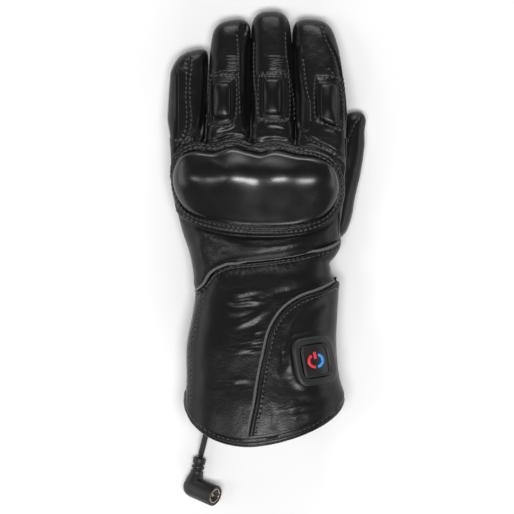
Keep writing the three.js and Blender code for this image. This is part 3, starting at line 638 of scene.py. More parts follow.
FINGERS = worked_out_fingers()
ROOT_HEIGHT = float(BODY["back"](FINGER_LINE) + BODY["palm"](FINGER_LINE)) / 2
WEB_FILL = 16
KNUCKLE_BLEND = 9


def finger_middle(finger, y):
    """A finger's centre line and half sizes at a place along it. It droops from the knuckles to the
    surface by 0.35 of its share plus 0.65 of the share squared."""
    share = (y - FINGER_LINE) / finger["reach"]
    inside = np.clip(share, 0, 1)
    lift = float(BODY["lift"](FINGER_LINE)) * (finger["root"] - float(BODY["middle"](FINGER_LINE)))
    rise = lift / float(BODY["half"](FINGER_LINE))
    droop = np.where(share < 0, 0.35 * share, 0.35 * inside + 0.65 * inside ** 2)
    return {
        "x": finger["root"] + finger["tip"] * inside ** 1.5,
        "z": lerp(ROOT_HEIGHT + rise, TIP_HEIGHT / 2 - 0.5, droop),
        "half": finger["half"] * lerp(1, finger["taper"], inside),
        "height": lerp(FINGER_HEIGHT, TIP_HEIGHT, inside) / 2,
    }


def finger_corner(y):
    """How square a finger's section is: boxy at the web, and round beyond it."""
    return lerp(WEB_CORNER, SECTION_CORNER, smoothstep(y - FINGER_LINE, 0, WEB_FILL))


def finger_arches(x, y, side):
    """The height of the four fingers' roots side by side, the highest on the back and the lowest on
    the palm. A finger counts only where a place lies within its own width."""
    out_of_reach, edge = 90, 0.985
    heights = []
    for finger in FINGERS:
        at = finger_middle(finger, y)
        place = (x - at["x"]) / (at["half"] + FINGER_GAP / 2)
        height = at["z"] + side * at["height"] * arch(np.clip(place, -edge, edge), finger_corner(y))
        heights.append(height - out_of_reach * side * (np.abs(place) > 1.02))
    return np.where(side > 0, np.max(heights, axis=0), np.min(heights, axis=0))


def seam_y(across):
    """The wrist seam's line: it rises from the left to the thumb's side."""
    return WRIST_Y + SEAM_RISE * SEAM_SHARE(across)


def hem_y(across):
    """The hem's line: lowest left of the middle, rising to both sides like the end of a rounded box."""
    lowest, left_corner, right_corner = -0.2, 2, 1.6
    side = np.where(across < lowest, 1 + lowest, 1 - lowest)
    corner = np.where(across < lowest, left_corner, right_corner)
    share = np.minimum(np.abs(across - lowest) / side, 1)
    return HEM_Y + HEM_TUCK + (HEM_RISE - HEM_TUCK) * (1 - arch(share, corner))


def section(turn):
    """Angles round a section as places across it, and 1 on the back or -1 on the palm."""
    return bent(np.cos(turn), SECTION_CORNER), np.where(np.sin(turn) < -1e-9, -1.0, 1.0)


def body_points(turn, y, rest=0.0):
    """The body's skin at angles round its section and places along the glove."""
    turn, y = np.broadcast_arrays(turn, y)
    return body_at(*section(turn), y, rest)


# Bulges of the body's sides: side, middle along the glove, half length and height
SIDE_BULGES = [(-1, -34.5, 4.5, 1.2), (1, -8, 8.5, 3.9), (1, -33, 4.5, 1.8), (1, -20, 2.6, -1.6)]


def body_at(across, side, y, rest=0.0):
    """The section at y: a rounded box, its thumb side lifted, its sides bulged by bell shapes, and
    with the fingers' own arches at the finger line."""
    middle = (BODY["back"](y) + BODY["palm"](y)) / 2
    height = (BODY["back"](y) - BODY["palm"](y)) / 2
    corner = np.where(side > 0, BODY["round"](y), BODY["flat"](y))
    up = side * arch(across, corner)
    x = BODY["middle"](y) + BODY["half"](y) * across
    for hand, place, half_length, bulge in SIDE_BULGES:
        x = x + across ** 3 * bulge * bell(y, place, half_length) * (across * hand > 0)
    z = middle + height * up + BODY["lift"](y) * across
    near = smoothstep(y, FINGER_LINE - KNUCKLE_BLEND, FINGER_LINE)
    z = lerp(z, finger_arches(x, np.maximum(y, FINGER_LINE - KNUCKLE_BLEND), side), near)
    return np.stack([x, y + 0 * x, np.maximum(z, rest)], axis=-1)


def on_back(x, y):
    """The place on the back of the hand or cuff above a place in the plane."""
    across = np.clip((x - BODY["middle"](y)) / BODY["half"](y), -1, 1)
    return body_at(across, np.ones_like(across), y)


def grown_on_back(x, y, grow):
    """A place of the back, moved out along its section as its solid's pieces are."""
    across = np.clip((x - BODY["middle"](y)) / BODY["half"](y), -1, 1)
    up = arch(across, BODY["round"](y))
    point = body_at(across, np.ones_like(across), y)
    point[..., 0] += grow * across
    point[..., 2] += grow * up
    return point


# Lines of the seams, folds and stitches, on the drawing

GUARD_MIDDLE = np.array((-0.034 * KNUCKLE_WIDTH, WRIST_Y + 0.655 * HAND_LENGTH))
GUARD_PLACES = np.array(GUARD_OUTLINE) * (GUARD_WIDTH, GUARD_LENGTH)
GUARD_PLACES[:, 1] = np.where(GUARD_PLACES[:, 1] < 0, GUARD_SAG * GUARD_PLACES[:, 1], GUARD_PLACES[:, 1])
GUARD_LINE = line(GUARD_MIDDLE + GUARD_PLACES, 1.0, closed=True)

# Panels sewn over others: height, spread and places. The line's left side is the upper panel.
LAPS = [
    (0.7, 5, [(189.5, 53), (190.5, 64), (188.6, 82), (188.3, 101), (190, 122), (187.6, 137),
              (177, 154)]),
    (0.6, 4, [(178, 66), (178.8, 90), (178.8, 139), (174.5, 160), (172.8, 176), (175, 200), (181, 222)]),
    (0.5, 6, [(344.1, 163), (330, 152), (316, 144.6), (306, 138.6)]),
    (0.8, 4, [(322.8, 23), (326.9, 41), (335.2, 58), (340.7, 82), (344.2, 108), (344.6, 135),
              (344.1, 165)]),
    (0.5, 3, [(341.5, 163), (343.4, 184), (343.2, 201), (339.4, 215), (338, 238)]),
]

# Sunk strips between the fingers: drop and places. The line's left side is the strip.
STRIPS = [
    (1.7, [(238.6, 22), (240.2, 50), (240.7, 82), (242, 122), (246, 132.8), (251.4, 129.5), (254.9, 121),
           (254.2, 100), (251.9, 82), (251.6, 40)]),
    (1.7, [(286.4, 20), (287.6, 57), (291.4, 82), (295.2, 102), (295.8, 127), (299.5, 132.6), (307, 130),
           (307, 108), (303.6, 91), (300.6, 71), (299, 45)]),
    (1.3, [(203.4, 60), (203, 90), (201.6, 118), (198, 133), (194, 143), (199, 143), (204, 133),
           (206.4, 118), (207, 90), (207.4, 60)]),
]

# Soft folds: height, half width and places
HAND_FOLDS = [
    (-1.8, 3.2, [(192, 228), (212, 235), (246, 240), (279, 240.2), (306, 237), (329, 229)]),
    (2.5, 8, [(222, 258), (250, 254), (279, 249.5), (302, 243.5), (328, 232)]),
    (0.9, 5.0, [(192, 240), (202, 256), (206, 268)]),
    (0.55, 1.6, [(206, 149), (222, 145.5), (240, 139.5)]),
    (-0.45, 1.3, [(208, 146), (222, 142.3), (238, 136.5)]),
    (0.45, 1.4, [(205, 143), (221, 139), (236, 133)]),
    (-0.4, 1.2, [(211, 139.5), (224, 136), (239, 129.5)]),
    (0.9, 3.2, [(245, 141.5), (262, 139.5), (279, 139.3), (296, 143)]),
    (0.35, 1.1, [(263, 137.5), (275, 143), (290, 140)]),
    (0.6, 1.3, [(203, 127), (197, 139), (189, 149)]),
    (-0.6, 1.2, [(200.5, 126), (194, 138), (186, 147)]),
    (0.7, 1.6, [(209, 131.5), (224, 131.5), (237, 127)]),
    (0.7, 1.4, [(262, 128.4), (275, 129), (291, 132)]),
    (0.5, 1.6, [(338, 138), (329, 133), (318, 131)]),
]
CUFF_FOLDS = [
    (1.5, 1.7, [(221, 299.5), (229, 302), (238, 303.7), (252.7, 302), (268, 303.3)]),
    (-1.2, 1.8, [(224, 305), (236, 308.3), (250, 307.3), (261, 307)]),
    (1.0, 1.6, [(226, 299.5), (234, 296.4), (246, 293.2), (258, 291.6), (270, 292.5)]),
    (-0.9, 1.4, [(236, 300), (247, 297.6), (259, 296.4)]),
    (1.6, 2.6, [(275, 303), (266, 309.4), (254, 318), (240, 325), (228, 327)]),
    (-1.1, 2.6, [(262, 310.5), (249, 316), (236, 318.5), (222, 317)]),
    (-1.0, 3.0, [(262, 321), (250, 328), (236, 333)]),
    (-1.5, 2.6, [(262, 300), (280, 294), (299, 289.4), (322, 283.5)]),
    (1.1, 3.4, [(272, 284), (290, 280.4), (306, 278.6), (324, 273)]),
    (-0.7, 3.4, [(215, 284), (238, 277), (262, 274), (292, 270)]),
    (0.7, 2.4, [(262, 324), (256, 334), (252, 346)]),
    (0.5, 1.6, [(233, 351), (246, 349.5), (258, 351)]),
    (-0.5, 1.4, [(234, 354.5), (246, 353.4), (257, 355)]),
    (0.45, 1.4, [(228, 380), (241, 378.3), (255, 380)]),
    (-0.4, 1.4, [(230, 384), (243, 382.4), (254, 384)]),
]
FLAP_FOLDS = [
    (0.9, 2.6, [(334, 290), (316, 299), (300, 310), (289, 325), (284, 345)]),
    (-0.8, 2.6, [(334, 300), (320, 306), (306, 318), (298, 332)]),
    (0.8, 2.2, [(287, 345), (288, 362), (286, 378)]),
    (-0.7, 1.8, [(281, 342), (281.5, 360), (280, 378)]),
    (-0.6, 1.6, [(292.5, 340), (293, 360), (292, 382)]),
    (0.7, 3.2, [(296, 390), (310, 393.5), (326, 391)]),
    (-0.7, 2.2, [(290, 397), (308, 401), (330, 397)]),
    (0.4, 1.2, [(284, 408), (300, 404), (318, 402)]),
    (-0.4, 1.1, [(286, 412), (302, 408), (320, 405.5)]),
    (0.35, 1.2, [(287, 416), (303, 412), (318, 409.5)]),
    (-0.5, 2.6, [(272, 400), (274, 416), (272, 430)]),
]

# Patches of fine crinkles: middle and half sizes on the drawing, turn, pitch and height
CRINKLES = [
    ((251, 340), (17, 13), 12, 2.0, 0.34),
    ((243, 352), (14, 7), -6, 1.8, 0.22),
    ((242, 381), (16, 8), 4, 2.2, 0.2),
    ((247, 297), (20, 8), 5, 1.8, 0.22),
    ((301, 408), (20, 10), 14, 1.9, 0.26),
    ((283, 360), (8, 22), 82, 1.8, 0.24),
    ((225, 139), (16, 9), 16, 1.7, 0.25),
    ((197, 126), (8, 14), 55, 1.8, 0.25),
    ((262, 244), (34, 9), 4, 1.6, 0.12),
    ((212, 246), (14, 16), 40, 2.4, 0.16),
    ((330, 133), (12, 8), 20, 1.8, 0.2),
    ((278, 138), (14, 6), -10, 1.8, 0.2),
    ((243, 108), (5, 22), 86, 1.6, 0.2),
    ((238, 275), (24, 6), 80, 2.6, 0.3),
]

# Rows of stitches on the drawing
STITCH_ROWS = [
    [(192.3, 57), (192, 66), (190.6, 82), (190.3, 101), (192, 121), (189.8, 135), (181, 151)],
    [(186.6, 60), (186.8, 82), (186.4, 101), (187.6, 121), (185.3, 136), (177, 149)],
    [(210, 79), (217, 75.6), (224, 73.6), (232, 75.6), (239, 79.6)],
    [(265.5, 77), (271, 74.4), (278, 73.4), (284, 74.6), (289.5, 78)],
    [(303.6, 140.2), (315, 146.8), (329, 154.2), (343, 164.8)],
    [(237, 36), (238.3, 58), (238.7, 82), (239.8, 118)],
    [(254, 44), (254.2, 82), (256.4, 100), (257.2, 118)],
    [(285, 34), (285.8, 57), (289.4, 82), (293.2, 102), (293.8, 124)],
    [(303, 62), (305.9, 90), (309.3, 108), (309.6, 126)],
    [(321.2, 28), (325, 42), (333, 59), (338.4, 82), (341.8, 108), (342.2, 134)],
    [(209.4, 66), (209.2, 90), (208.8, 116)],
    [(201.6, 293), (200.8, 306), (198, 317), (195, 328), (192.6, 340), (191.4, 362), (191.2, 384),
     (191.4, 402)],
    [(357.4, 121), (352.4, 131), (347.4, 144)],
]
CUFF_SIDE_ROW = 11
WRIST_LINE = [
    (195.5, 291.5), (201.5, 286.5), (207.1, 279.5), (214.1, 271.8), (224.6, 266.8), (235.2, 264.4),
    (256.2, 262.6), (275, 260.5), (296.5, 257.3), (315, 252.6), (329.6, 248.2), (338.6, 242.5),
]
BARTACK = [(327, 71.5), (333, 78.5)]
THUMB_SEAM = [(360, 114), (358.6, 118.5), (352.6, 130), (346.8, 146), (346, 160)]
PAD_FRAMES = {
    "ring": [(209, 84), (216, 80.5), (232, 81), (235.5, 86), (234.6, 121), (229, 128), (214, 128.5),
             (208.6, 123)],
    "middle": [(260, 82), (265, 78.6), (283, 78.8), (287.4, 84), (288, 118), (284, 124), (264, 123.4),
               (260, 118)],
    "index": [(315, 86), (320, 82.4), (337, 83), (340.8, 88), (341.4, 129.4), (338, 132.6), (319, 123.4),
              (315.2, 118)],
}
FRAME_LINES = [line(plan(*places), 1.2, closed=True) for places in PAD_FRAMES.values()]


# Heights drawn on the leather

def fold_heights(x, y, table):
    """Soft folds: each adds its height times e^(−(distance / width)²), fading at its ends."""
    total = np.zeros(x.shape)
    for height, width, places in table:
        away, _, along, length = beside(line(plan(*places), 2.0), x, y, 2.6 * width)
        total += height * bell(away, 0, width) * fading(along, length, 0.4 * length)
    return total


def lap_heights(x, y):
    """Seams of lapped panels: the left side stands up at the line and sinks back with distance, and
    a groove e^(−(distance / 0.8)²) runs on the right."""
    total = np.zeros(x.shape)
    for height, spread, places in LAPS:
        away, side, along, length = beside(line(plan(*places), 1.5), x, y, 3 * spread)
        left = smoothstep(side * away, -0.35, 0.35)
        shape = left * height * np.exp(-away / spread) - (1 - left) * 0.8 * bell(away, 0, 0.8)
        total += shape * fading(along, length, 5)
    return total


def strip_heights(x, y):
    """Strips sunk between the fingers: a drop on the left of the line over 0.9 mm, and a rolled edge
    on its right."""
    total = np.zeros(x.shape)
    for drop, places in STRIPS:
        away, side, along, length = beside(line(plan(*places), 1.5), x, y, 7)
        inside = smoothstep(side * away, -0.2, 0.9) * (away < 6.5)
        edge = 0.45 * bell(side * away, -0.9, 0.8)
        total += (edge - drop * inside) * fading(along, length, 6)
    return total


def crinkle_heights(x, y):
    """Patches of fine creases: ridges 1 − 2|noise| stretched along one direction, under a
    bell shape."""
    total = np.zeros(x.shape)
    for i, (place, reach, turn, pitch, height) in enumerate(CRINKLES):
        middle = plan(place)[0]
        dx, dy = x - middle[0], y - middle[1]
        patch = bell(dx, 0, reach[0] * PLAN_STEP) * bell(dy, 0, reach[1] * PLAN_STEP)
        near = patch > 0.02
        c, s = math.cos(math.radians(turn)), math.sin(math.radians(turn))
        u, v = (dx * c + dy * s)[near], (dy * c - dx * s)[near]
        ripple = 1 - 2 * np.abs(swell(u / 3.2, v + 0.5 * swell(u, v, 5, 70 + i), pitch, 40 + i))
        total[near] += 0.65 * height * patch[near] * ripple
    return total


def frame_heights(x, y):
    """The stitched frames round the finger pads: a rolled rim, with a sunk border inside it."""
    total = np.zeros(x.shape)
    for path in FRAME_LINES:
        away, side, _, _ = beside(path, x, y, 6)
        inward = -away * side
        total += 0.7 * bell(inward, -0.9, 0.9) - 0.9 * bell(inward, 1.6, 1.1)
    return total


def guard_rim_heights(x, y):
    """The leather rises in a band round the guard, with a groove at the guard's foot and another
    outside the band."""
    away, side, _, _ = beside(GUARD_LINE, x, y, 14)
    outside = side * away
    band = 1.5 * smoothstep(outside, 0.3, 1.3) * (1 - smoothstep(outside, 5.2, 6.6))
    return band - 0.7 * bell(outside, 3.3, 0.7) - 0.9 * bell(outside, 7.4, 1.3)


def sewn_dips(x, y, rows):
    """Stitches pull the leather down: a furrow with a dip at each stitch, 0.55 + 0.45 cos
    of the way along."""
    total = np.zeros(x.shape)
    for path in rows:
        away, _, along, _ = beside(path, x, y, 3)
        pull = 0.55 + 0.45 * np.cos(2 * np.pi * along / STITCH_PITCH)
        total -= 0.4 * pull * bell(away, 0, 0.85)
    return total


def leather_swell(x, y, seed):
    """The unevenness of worn leather: three sizes of random swells."""
    broad = 0.45 * swell(x, y, 23, seed) + 0.22 * swell(x, y, 9, seed + 1)
    return broad + 0.07 * swell(x, y, 3.2, seed + 2)


def stitched_lines():
    """The hand's rows of stitches as lines on the plane: the drawn rows, one inside each pad's frame,
    two round the guard and the bar tack."""
    rows = [line(plan(*places), 1.0) for places in STITCH_ROWS]
    rows += [moved_aside(path, 0.9) for path in FRAME_LINES]
    rows += [moved_aside(GUARD_LINE, 2.1), moved_aside(GUARD_LINE, 4.6)]
    rows.append(line(plan(*BARTACK), 1.0))
    return rows


HAND_STITCHES = stitched_lines()
WRIST_PATH = line(plan(*WRIST_LINE), 1.2)
WRIST_STITCHES = moved_aside(WRIST_PATH, -3.3)
FLAP_PLACES = np.array(FLAP_EDGE) * (HEM_WIDTH, -CUFF_LENGTH) + (0, WRIST_Y)
FLAP_PATH = line(FLAP_PLACES, 1.2)
FLAP_PATH = FLAP_PATH[FLAP_PATH[:, 1] > HEM_Y + BINDING_WIDTH + 3][2:]
FLAP_STITCHES = moved_aside(FLAP_PATH, 4.0)


def hand_heights(x, y):
    """All that is drawn on the hand and the fingers, and a bell-shaped dip along the wrist seam."""
    heights = fold_heights(x, y, HAND_FOLDS) + lap_heights(x, y) + strip_heights(x, y)
    heights += crinkle_heights(x, y) + frame_heights(x, y) + guard_rim_heights(x, y)
    heights += sewn_dips(x, y, HAND_STITCHES) + leather_swell(x, y, 3)
    away, _, _, _ = beside(WRIST_PATH, x, y, 9)
    return heights - 1.1 * bell(away, 0, 2.6)


def hem_bulge(y):
    """The padding pushes the leather out above the hem's band, more and more over 46 mm."""
    return 1.3 * smoothstep(-88 - y, 0, 46)


def cuff_heights(x, y):
    """All that is drawn on the cuff: folds, crinkles, stitches and the hem's padding, and below the
    wrist seam a welt, a shallow hollow and cosine puckers that end where the flap begins."""
    heights = 0.42 * fold_heights(x, y, CUFF_FOLDS) + crinkle_heights(x, y)
    heights += 0.6 * leather_swell(x, y, 11)
    heights += sewn_dips(x, y, [HAND_STITCHES[CUFF_SIDE_ROW], WRIST_STITCHES]) + hem_bulge(y)
    away, side, along, _ = beside(WRIST_PATH, x, y, 12)
    puckers = np.cos(2 * np.pi * along / 4.3 + 2 * swell(x, y, 6, 5))
    puckers *= bell(away, 4.6, 2.6)
    welt = 0.8 * bell(away, 1.9, 0.9) - 0.9 * bell(away, 0, 1) - 1.7 * bell(away, 0, 6)
    return heights + 0.09 * puckers * (x < 22) + welt * (side < 0)


def flap_heights(x, y):
    """All that is drawn on the flap: folds, crinkles, stitches and the hem's padding, a rolled edge
    with a groove, and leather drawn up round the controller."""
    heights = 0.7 * fold_heights(x, y, FLAP_FOLDS) + crinkle_heights(x, y)
    heights += 0.6 * leather_swell(x, y, 23)
    heights += sewn_dips(x, y, [FLAP_STITCHES]) + hem_bulge(y)
    away, _, _, _ = beside(FLAP_PATH, x, y, 9)
    heights += 0.8 * bell(away, 2.2, 1) - 0.5 * bell(away, 0.4, 0.9)
    surround = line(controller_ring(BEZEL[0], BEZEL[1], 60), 1.0)
    away, _, _, _ = beside(surround, x, y, 9)
    return heights + 1.1 * bell(away, 0, 2.6)


def lifted(grid, heights, start=-0.05, full=0.45):
    """A grid moved out along its normals by heights drawn on the plane, as far as it faces up."""
    out = normals(grid, True)
    weight = smoothstep(out[..., 2], start, full)
    return grid + out * (heights(grid[..., 0], grid[..., 1]) * weight)[..., None]


def around_turns(back, palm):
    """The angles round a section, from the thumb side over the back, finer on the back."""
    over = np.linspace(0, np.pi, back, endpoint=False)
    under = np.linspace(np.pi, 2 * np.pi, palm, endpoint=False)
    return np.concatenate([over, under])


def row_finishes(sides, *runs):
    """The finish of each face of a ring skin, from runs of face rows, each with its finish."""
    return np.repeat([finish for _, finish in runs], [rows * sides for rows, _ in runs])


def settled(grid, floor=0.0):
    """Corners that reach below a floor are laid on it."""
    grid = grid.copy()
    grid[..., 2] = np.maximum(grid[..., 2], floor)
    return grid


# Pieces of the body

# The fineness of the body's skins round the back and the palm, and the half gap at the wrist seam
BACK_SIDES = 260
PALM_SIDES = 84
BODY_TURN = around_turns(BACK_SIDES, PALM_SIDES)[None, :]
SEAM_GAP = 0.2
CUFF_REST = 1.5


def walled(name, node, skin, lining, floor):
    """A hollow wall: the outer skin's rings, then the lining's rings back, joined at both ends."""
    rings = np.concatenate([settled(skin, floor), settled(lining, floor + WALL)])
    finish_of = row_finishes(BACK_SIDES + PALM_SIDES, (len(skin) - 1, 0), (len(lining), 1), (1, 0))
    piece = ring_skin(name, rings, [LEATHER, FLEECE], closed=True, finish_of=finish_of)
    return rider(piece, "leather", node)


def hand_leather():
    """The hand from the wrist seam to the finger line: the outer skin, then the lining, joined."""
    rows, lining_rows, rim = 158, 26, 0.01
    start = seam_y(section(BODY_TURN)[0]) + SEAM_GAP
    share = np.linspace(0, 1, rows)[:, None]
    skin = lifted(body_points(BODY_TURN, lerp(start, FINGER_LINE, share)), hand_heights)
    skin = np.concatenate([skin, skin[-1:] + (0, rim, 0)])
    share = np.linspace(1, 0, lining_rows)[:, None]
    inner = body_points(BODY_TURN, lerp(start, FINGER_LINE, share))
    return walled("hand_leather", "hand_shell", skin, inner - WALL * normals(inner, True), 0)


def cuff_leather():
    """The cuff from the wrist seam to its end inside the binding: the outer skin, whose last rows
    go back to the plain form, and the slightly uneven lining."""
    rows, lining_rows, tucked, tuck = 190, 40, 8, 1.6
    across = section(BODY_TURN)[0]
    start, end = seam_y(across) - SEAM_GAP, hem_y(across) + tuck
    share = np.linspace(0, 1, rows)[:, None]
    outside = body_points(BODY_TURN, lerp(start, end, share), rest=CUFF_REST)
    skin = lifted(outside, cuff_heights)
    plain = np.linspace(0, 1, tucked)[:, None, None]
    skin[-tucked:] = lerp(skin[-tucked:], outside[-tucked:], plain)
    share = np.linspace(1, 0, lining_rows)[:, None]
    inner = body_points(BODY_TURN, lerp(start, end, share), rest=CUFF_REST)
    lining = inner - WALL * normals(inner, True)
    lining[..., 2] += 0.25 * swell(lining[..., 0], lining[..., 1], 7, 31)
    return walled("cuff_leather", "cuff", skin, lining, CUFF_REST)


# Where a finger's domed tip begins, and how round its dome is outside and inside
TIP_START = 0.84
DOME_CORNER = 2.7
LINING_DOME_CORNER = 2.3


def finger_points(finger, turn, share, grow=0.0):
    """A finger's section at a share of its length: a rounded box with a domed, leaning tip. The
    outer skin, whose growth isn't negative, has the padding's fullness as well."""
    outer = grow >= 0
    y = FINGER_LINE + share * (finger["reach"] + grow)
    at = finger_middle(finger, y)
    dome = np.maximum((share - TIP_START) / (1 - TIP_START), 0)
    cap = arch(dome, DOME_CORNER if outer else LINING_DOME_CORNER)
    y = y + outer * TIP_FULLNESS[finger["name"]] * smoothstep(share, 0.7, 0.96)
    across, side = section(turn)
    left, right = SIDE_FULLNESS[finger["name"]]
    reach = smoothstep(share, 0, 0.25) * (1 - 0.8 * smoothstep(share, 0.72, 0.95))
    full = grow + outer * reach * np.where(across < 0, left, right)
    x = at["x"] + (at["half"] + full) * cap * across
    z = at["z"] + (at["height"] + grow) * cap * side * arch(across, finger_corner(y))
    lean = finger["lean"] * (x - at["x"]) * smoothstep(share, 0.72, 0.95)
    return np.stack([x, y + lean, np.maximum(z, 0.3 - grow)], axis=-1)


# The ribs' start and end along a finger, and their left and right ends across it
RIB_SPANS = {"ring": (0.565, 0.695, -0.3, 0.5), "middle": (0.535, 0.645, -0.3, 0.88)}
RIB_COUNT = 5
RIB_BOW = 1.8


def rib_heights(finger, x, y):
    """Accordion ribs on the back of a finger: five rolls, the size of a sine along the finger, which
    bow with the place across squared."""
    if finger["name"] not in RIB_SPANS:
        return 0 * x
    low, high, left, right = RIB_SPANS[finger["name"]]
    at = finger_middle(finger, y)
    across = (x - at["x"]) / at["half"]
    share = (y + RIB_BOW * across ** 2 - FINGER_LINE) / finger["reach"]
    inside = (share - low) / (high - low)
    rolls = np.abs(np.sin(np.clip(inside, 0, 1) * RIB_COUNT * np.pi)) ** 0.8
    wide = smoothstep(across, left, left + 0.35) * (1 - smoothstep(across, right - 0.12, right))
    return (0.95 * rolls - 0.35) * wide * ((inside > 0) & (inside < 1))


def finger_leather(finger):
    """A finger: the lining from its tip to its root, then the outer skin from inside the hand, where
    it is sunk a little, to the tip, with its ribs, seams and frames."""
    turn = around_turns(84, 36)[None, :]
    rows, tip_rows, lining_rows = 132, 26, 22
    closing = (1 - np.linspace(0, 1, tip_rows)[1:]) ** 1.7
    shares = np.concatenate([np.linspace(-0.04, TIP_START, rows), 1 - (1 - TIP_START) * closing])
    shares[-1] = 0.9995
    outside = finger_points(finger, turn, shares[:, None])

    def relief(x, y):
        """The hand's drawing and this finger's ribs."""
        return hand_heights(x, y) + rib_heights(finger, x, y)

    skin = lifted(outside, relief, start=0.1, full=0.5)
    skin = lerp(skin, outside, smoothstep(shares, 0.97, 1.0)[:, None, None])
    sunk = 0.3 * (np.clip(-shares, 0, 1) / 0.03)[:, None] ** 2
    skin[..., 2] -= sunk * np.sign(skin[..., 2] - skin[..., 2].mean(axis=1, keepdims=True))
    inner_shares = np.concatenate([[0.995], np.linspace(0.97, -0.012, lining_rows)])[:, None]
    inner = finger_points(finger, turn, inner_shares, grow=-WALL)
    rings = np.concatenate([inner, settled(skin, 0.1)])
    finish_of = row_finishes(turn.size, (lining_rows, 1), (len(shares), 0), (1, 1), (1, 0))
    name = finger["name"] + "_leather"
    finishes = [LEATHER, FLEECE]
    piece = ring_skin(name, rings, finishes, first_pole=True, last_pole=True, finish_of=finish_of)
    return rider(piece, "leather", finger["name"] + "_finger")


def thumb_leather():
    """The thumb, a round-ended form with a seam along its back. Its root lies in the hand's wall:
    where it would reach the hollow, its skin keeps 2.4 mm inside the section's side."""
    middle = column(THUMB_COLUMNS, THUMB_ROWS, "along", "middle")
    width = column(THUMB_COLUMNS, THUMB_ROWS, "along", "width")
    share = np.linspace(0, 1, 130)[:, None]
    turn = full_turn(96)[None, :]
    y = THUMB_ROOT + share * THUMB_LENGTH
    root, tip = 0.13, 0.1
    round_end = arch(np.maximum((root - share) / root, 0), 2)
    round_end *= arch(np.maximum((share - 1 + tip) / tip, 0), THUMB_CORNER)
    round_end = np.maximum(round_end, 0.004)
    half = THUMB_WIDTH * width(share) / 2 * round_end
    height = THUMB_HEIGHT * width(share) / 2 * round_end
    x = KNUCKLE_WIDTH * middle(share) + half * bent(np.cos(turn), THUMB_CORNER)
    x = x + THUMB_FULLNESS * np.maximum(np.cos(turn), 0) * smoothstep(75 - y, 0, 14)
    z = THUMB_HEIGHT * width(share) / 2 - 0.4 + height * bent(np.sin(turn), THUMB_CORNER)
    grid = np.stack([x, y + 0 * x, np.maximum(z, 0)], axis=-1)
    seam = line(plan(*THUMB_SEAM), 1.5)

    def heights(px, py):
        """A lap on the seam's right, a groove on its left, and the leather's swell."""
        away, side, along, length = beside(seam, px, py, 8)
        left = smoothstep(side * away, -0.4, 0.4)
        lap = 0.7 * (1 - left) * np.exp(-away / 4) - 0.8 * left * bell(away, 0, 0.9)
        return lap * fading(along, length, 4) + leather_swell(px, py, 41)

    grid = lifted(grid, heights)
    skin_x = grid[..., 0]
    inside_y = np.clip(grid[..., 1], WRIST_Y, FINGER_LINE)
    mid = (BODY["back"](inside_y) + BODY["palm"](inside_y)) / 2
    tall = (BODY["back"](inside_y) - BODY["palm"](inside_y)) / 2
    level = np.clip(np.abs(grid[..., 2] - mid) / tall, 0, 0.98)
    inset, side_corner = 2.4, 2.6
    wall_x = BODY["middle"](inside_y) + BODY["half"](inside_y) * arch(level, side_corner) - inset
    grid[..., 0] = np.where(grid[..., 1] < FINGER_LINE, np.maximum(skin_x, wall_x), skin_x)
    piece = ring_skin("thumb_leather", settled(grid), [LEATHER], first_pole=True, last_pole=True)
    return rider(piece, "leather", "thumb")


def flap_turn(x, y):
    """The angle round the section of a place on the back."""
    across = np.clip((x - BODY["middle"](y)) / BODY["half"](y), -1, 1)
    return np.arccos(np.sign(across) * np.abs(across) ** 1.2)


def flap_leather():
    """The flap: rows run from the side of the cuff to its piped edge, and go from the wrist to the
    binding. The row lines bend smoothly into the hem's line at the last row."""
    edge = line(FLAP_PLACES, 0.6)
    side_turn = -0.35

    def hem_at(turn):
        """The flap's end at an angle round the section, just above the binding."""
        return hem_y(section(turn)[0]) + BINDING_WIDTH + 0.4

    turns = flap_turn(edge[:, 0], edge[:, 1])
    keep = edge[:, 1] > hem_at(turns)
    edge, turns = edge[keep], turns[keep]
    share = np.linspace(0, 1, len(edge))
    rows = np.linspace(0, 1, 190)
    edge_y, edge_turn = np.interp(rows, share, edge[:, 1]), np.interp(rows, share, turns)
    side_y = lerp(edge[0, 1], hem_at(side_turn), rows)
    s = (1 - (1 - np.linspace(0, 1, 150)) ** 1.25)[None, :]
    turn = lerp(side_turn, edge_turn[:, None], s)
    y = lerp(side_y[:, None], edge_y[:, None], s)
    y += rows[:, None] ** 2 * (hem_at(turn[-1:]) - y[-1:])
    grid = body_points(turn, y, rest=CUFF_REST)
    out = normals(grid, False)
    weight = smoothstep(out[..., 2], -0.05, 0.45)
    x, y = grid[..., 0], grid[..., 1]
    away, _, _, _ = beside(FLAP_PATH, x, y, 6)
    rounded = FLAP_FACE * (1 - 0.75 * bell(away, 0, 0.7))
    folds_below = 0.4 * fold_heights(x, y, CUFF_FOLDS)
    top = grid + out * (rounded + (flap_heights(x, y) + folds_below) * weight)[..., None]
    under = grid + out * np.minimum(0.4 * cuff_heights(x, y) * weight - 0.3, 0.4)[..., None]
    piece = sheet_skin("flap_leather", top, under, [PANEL_LEATHER])
    return rider(piece, "panel_leather", "cuff_flap")


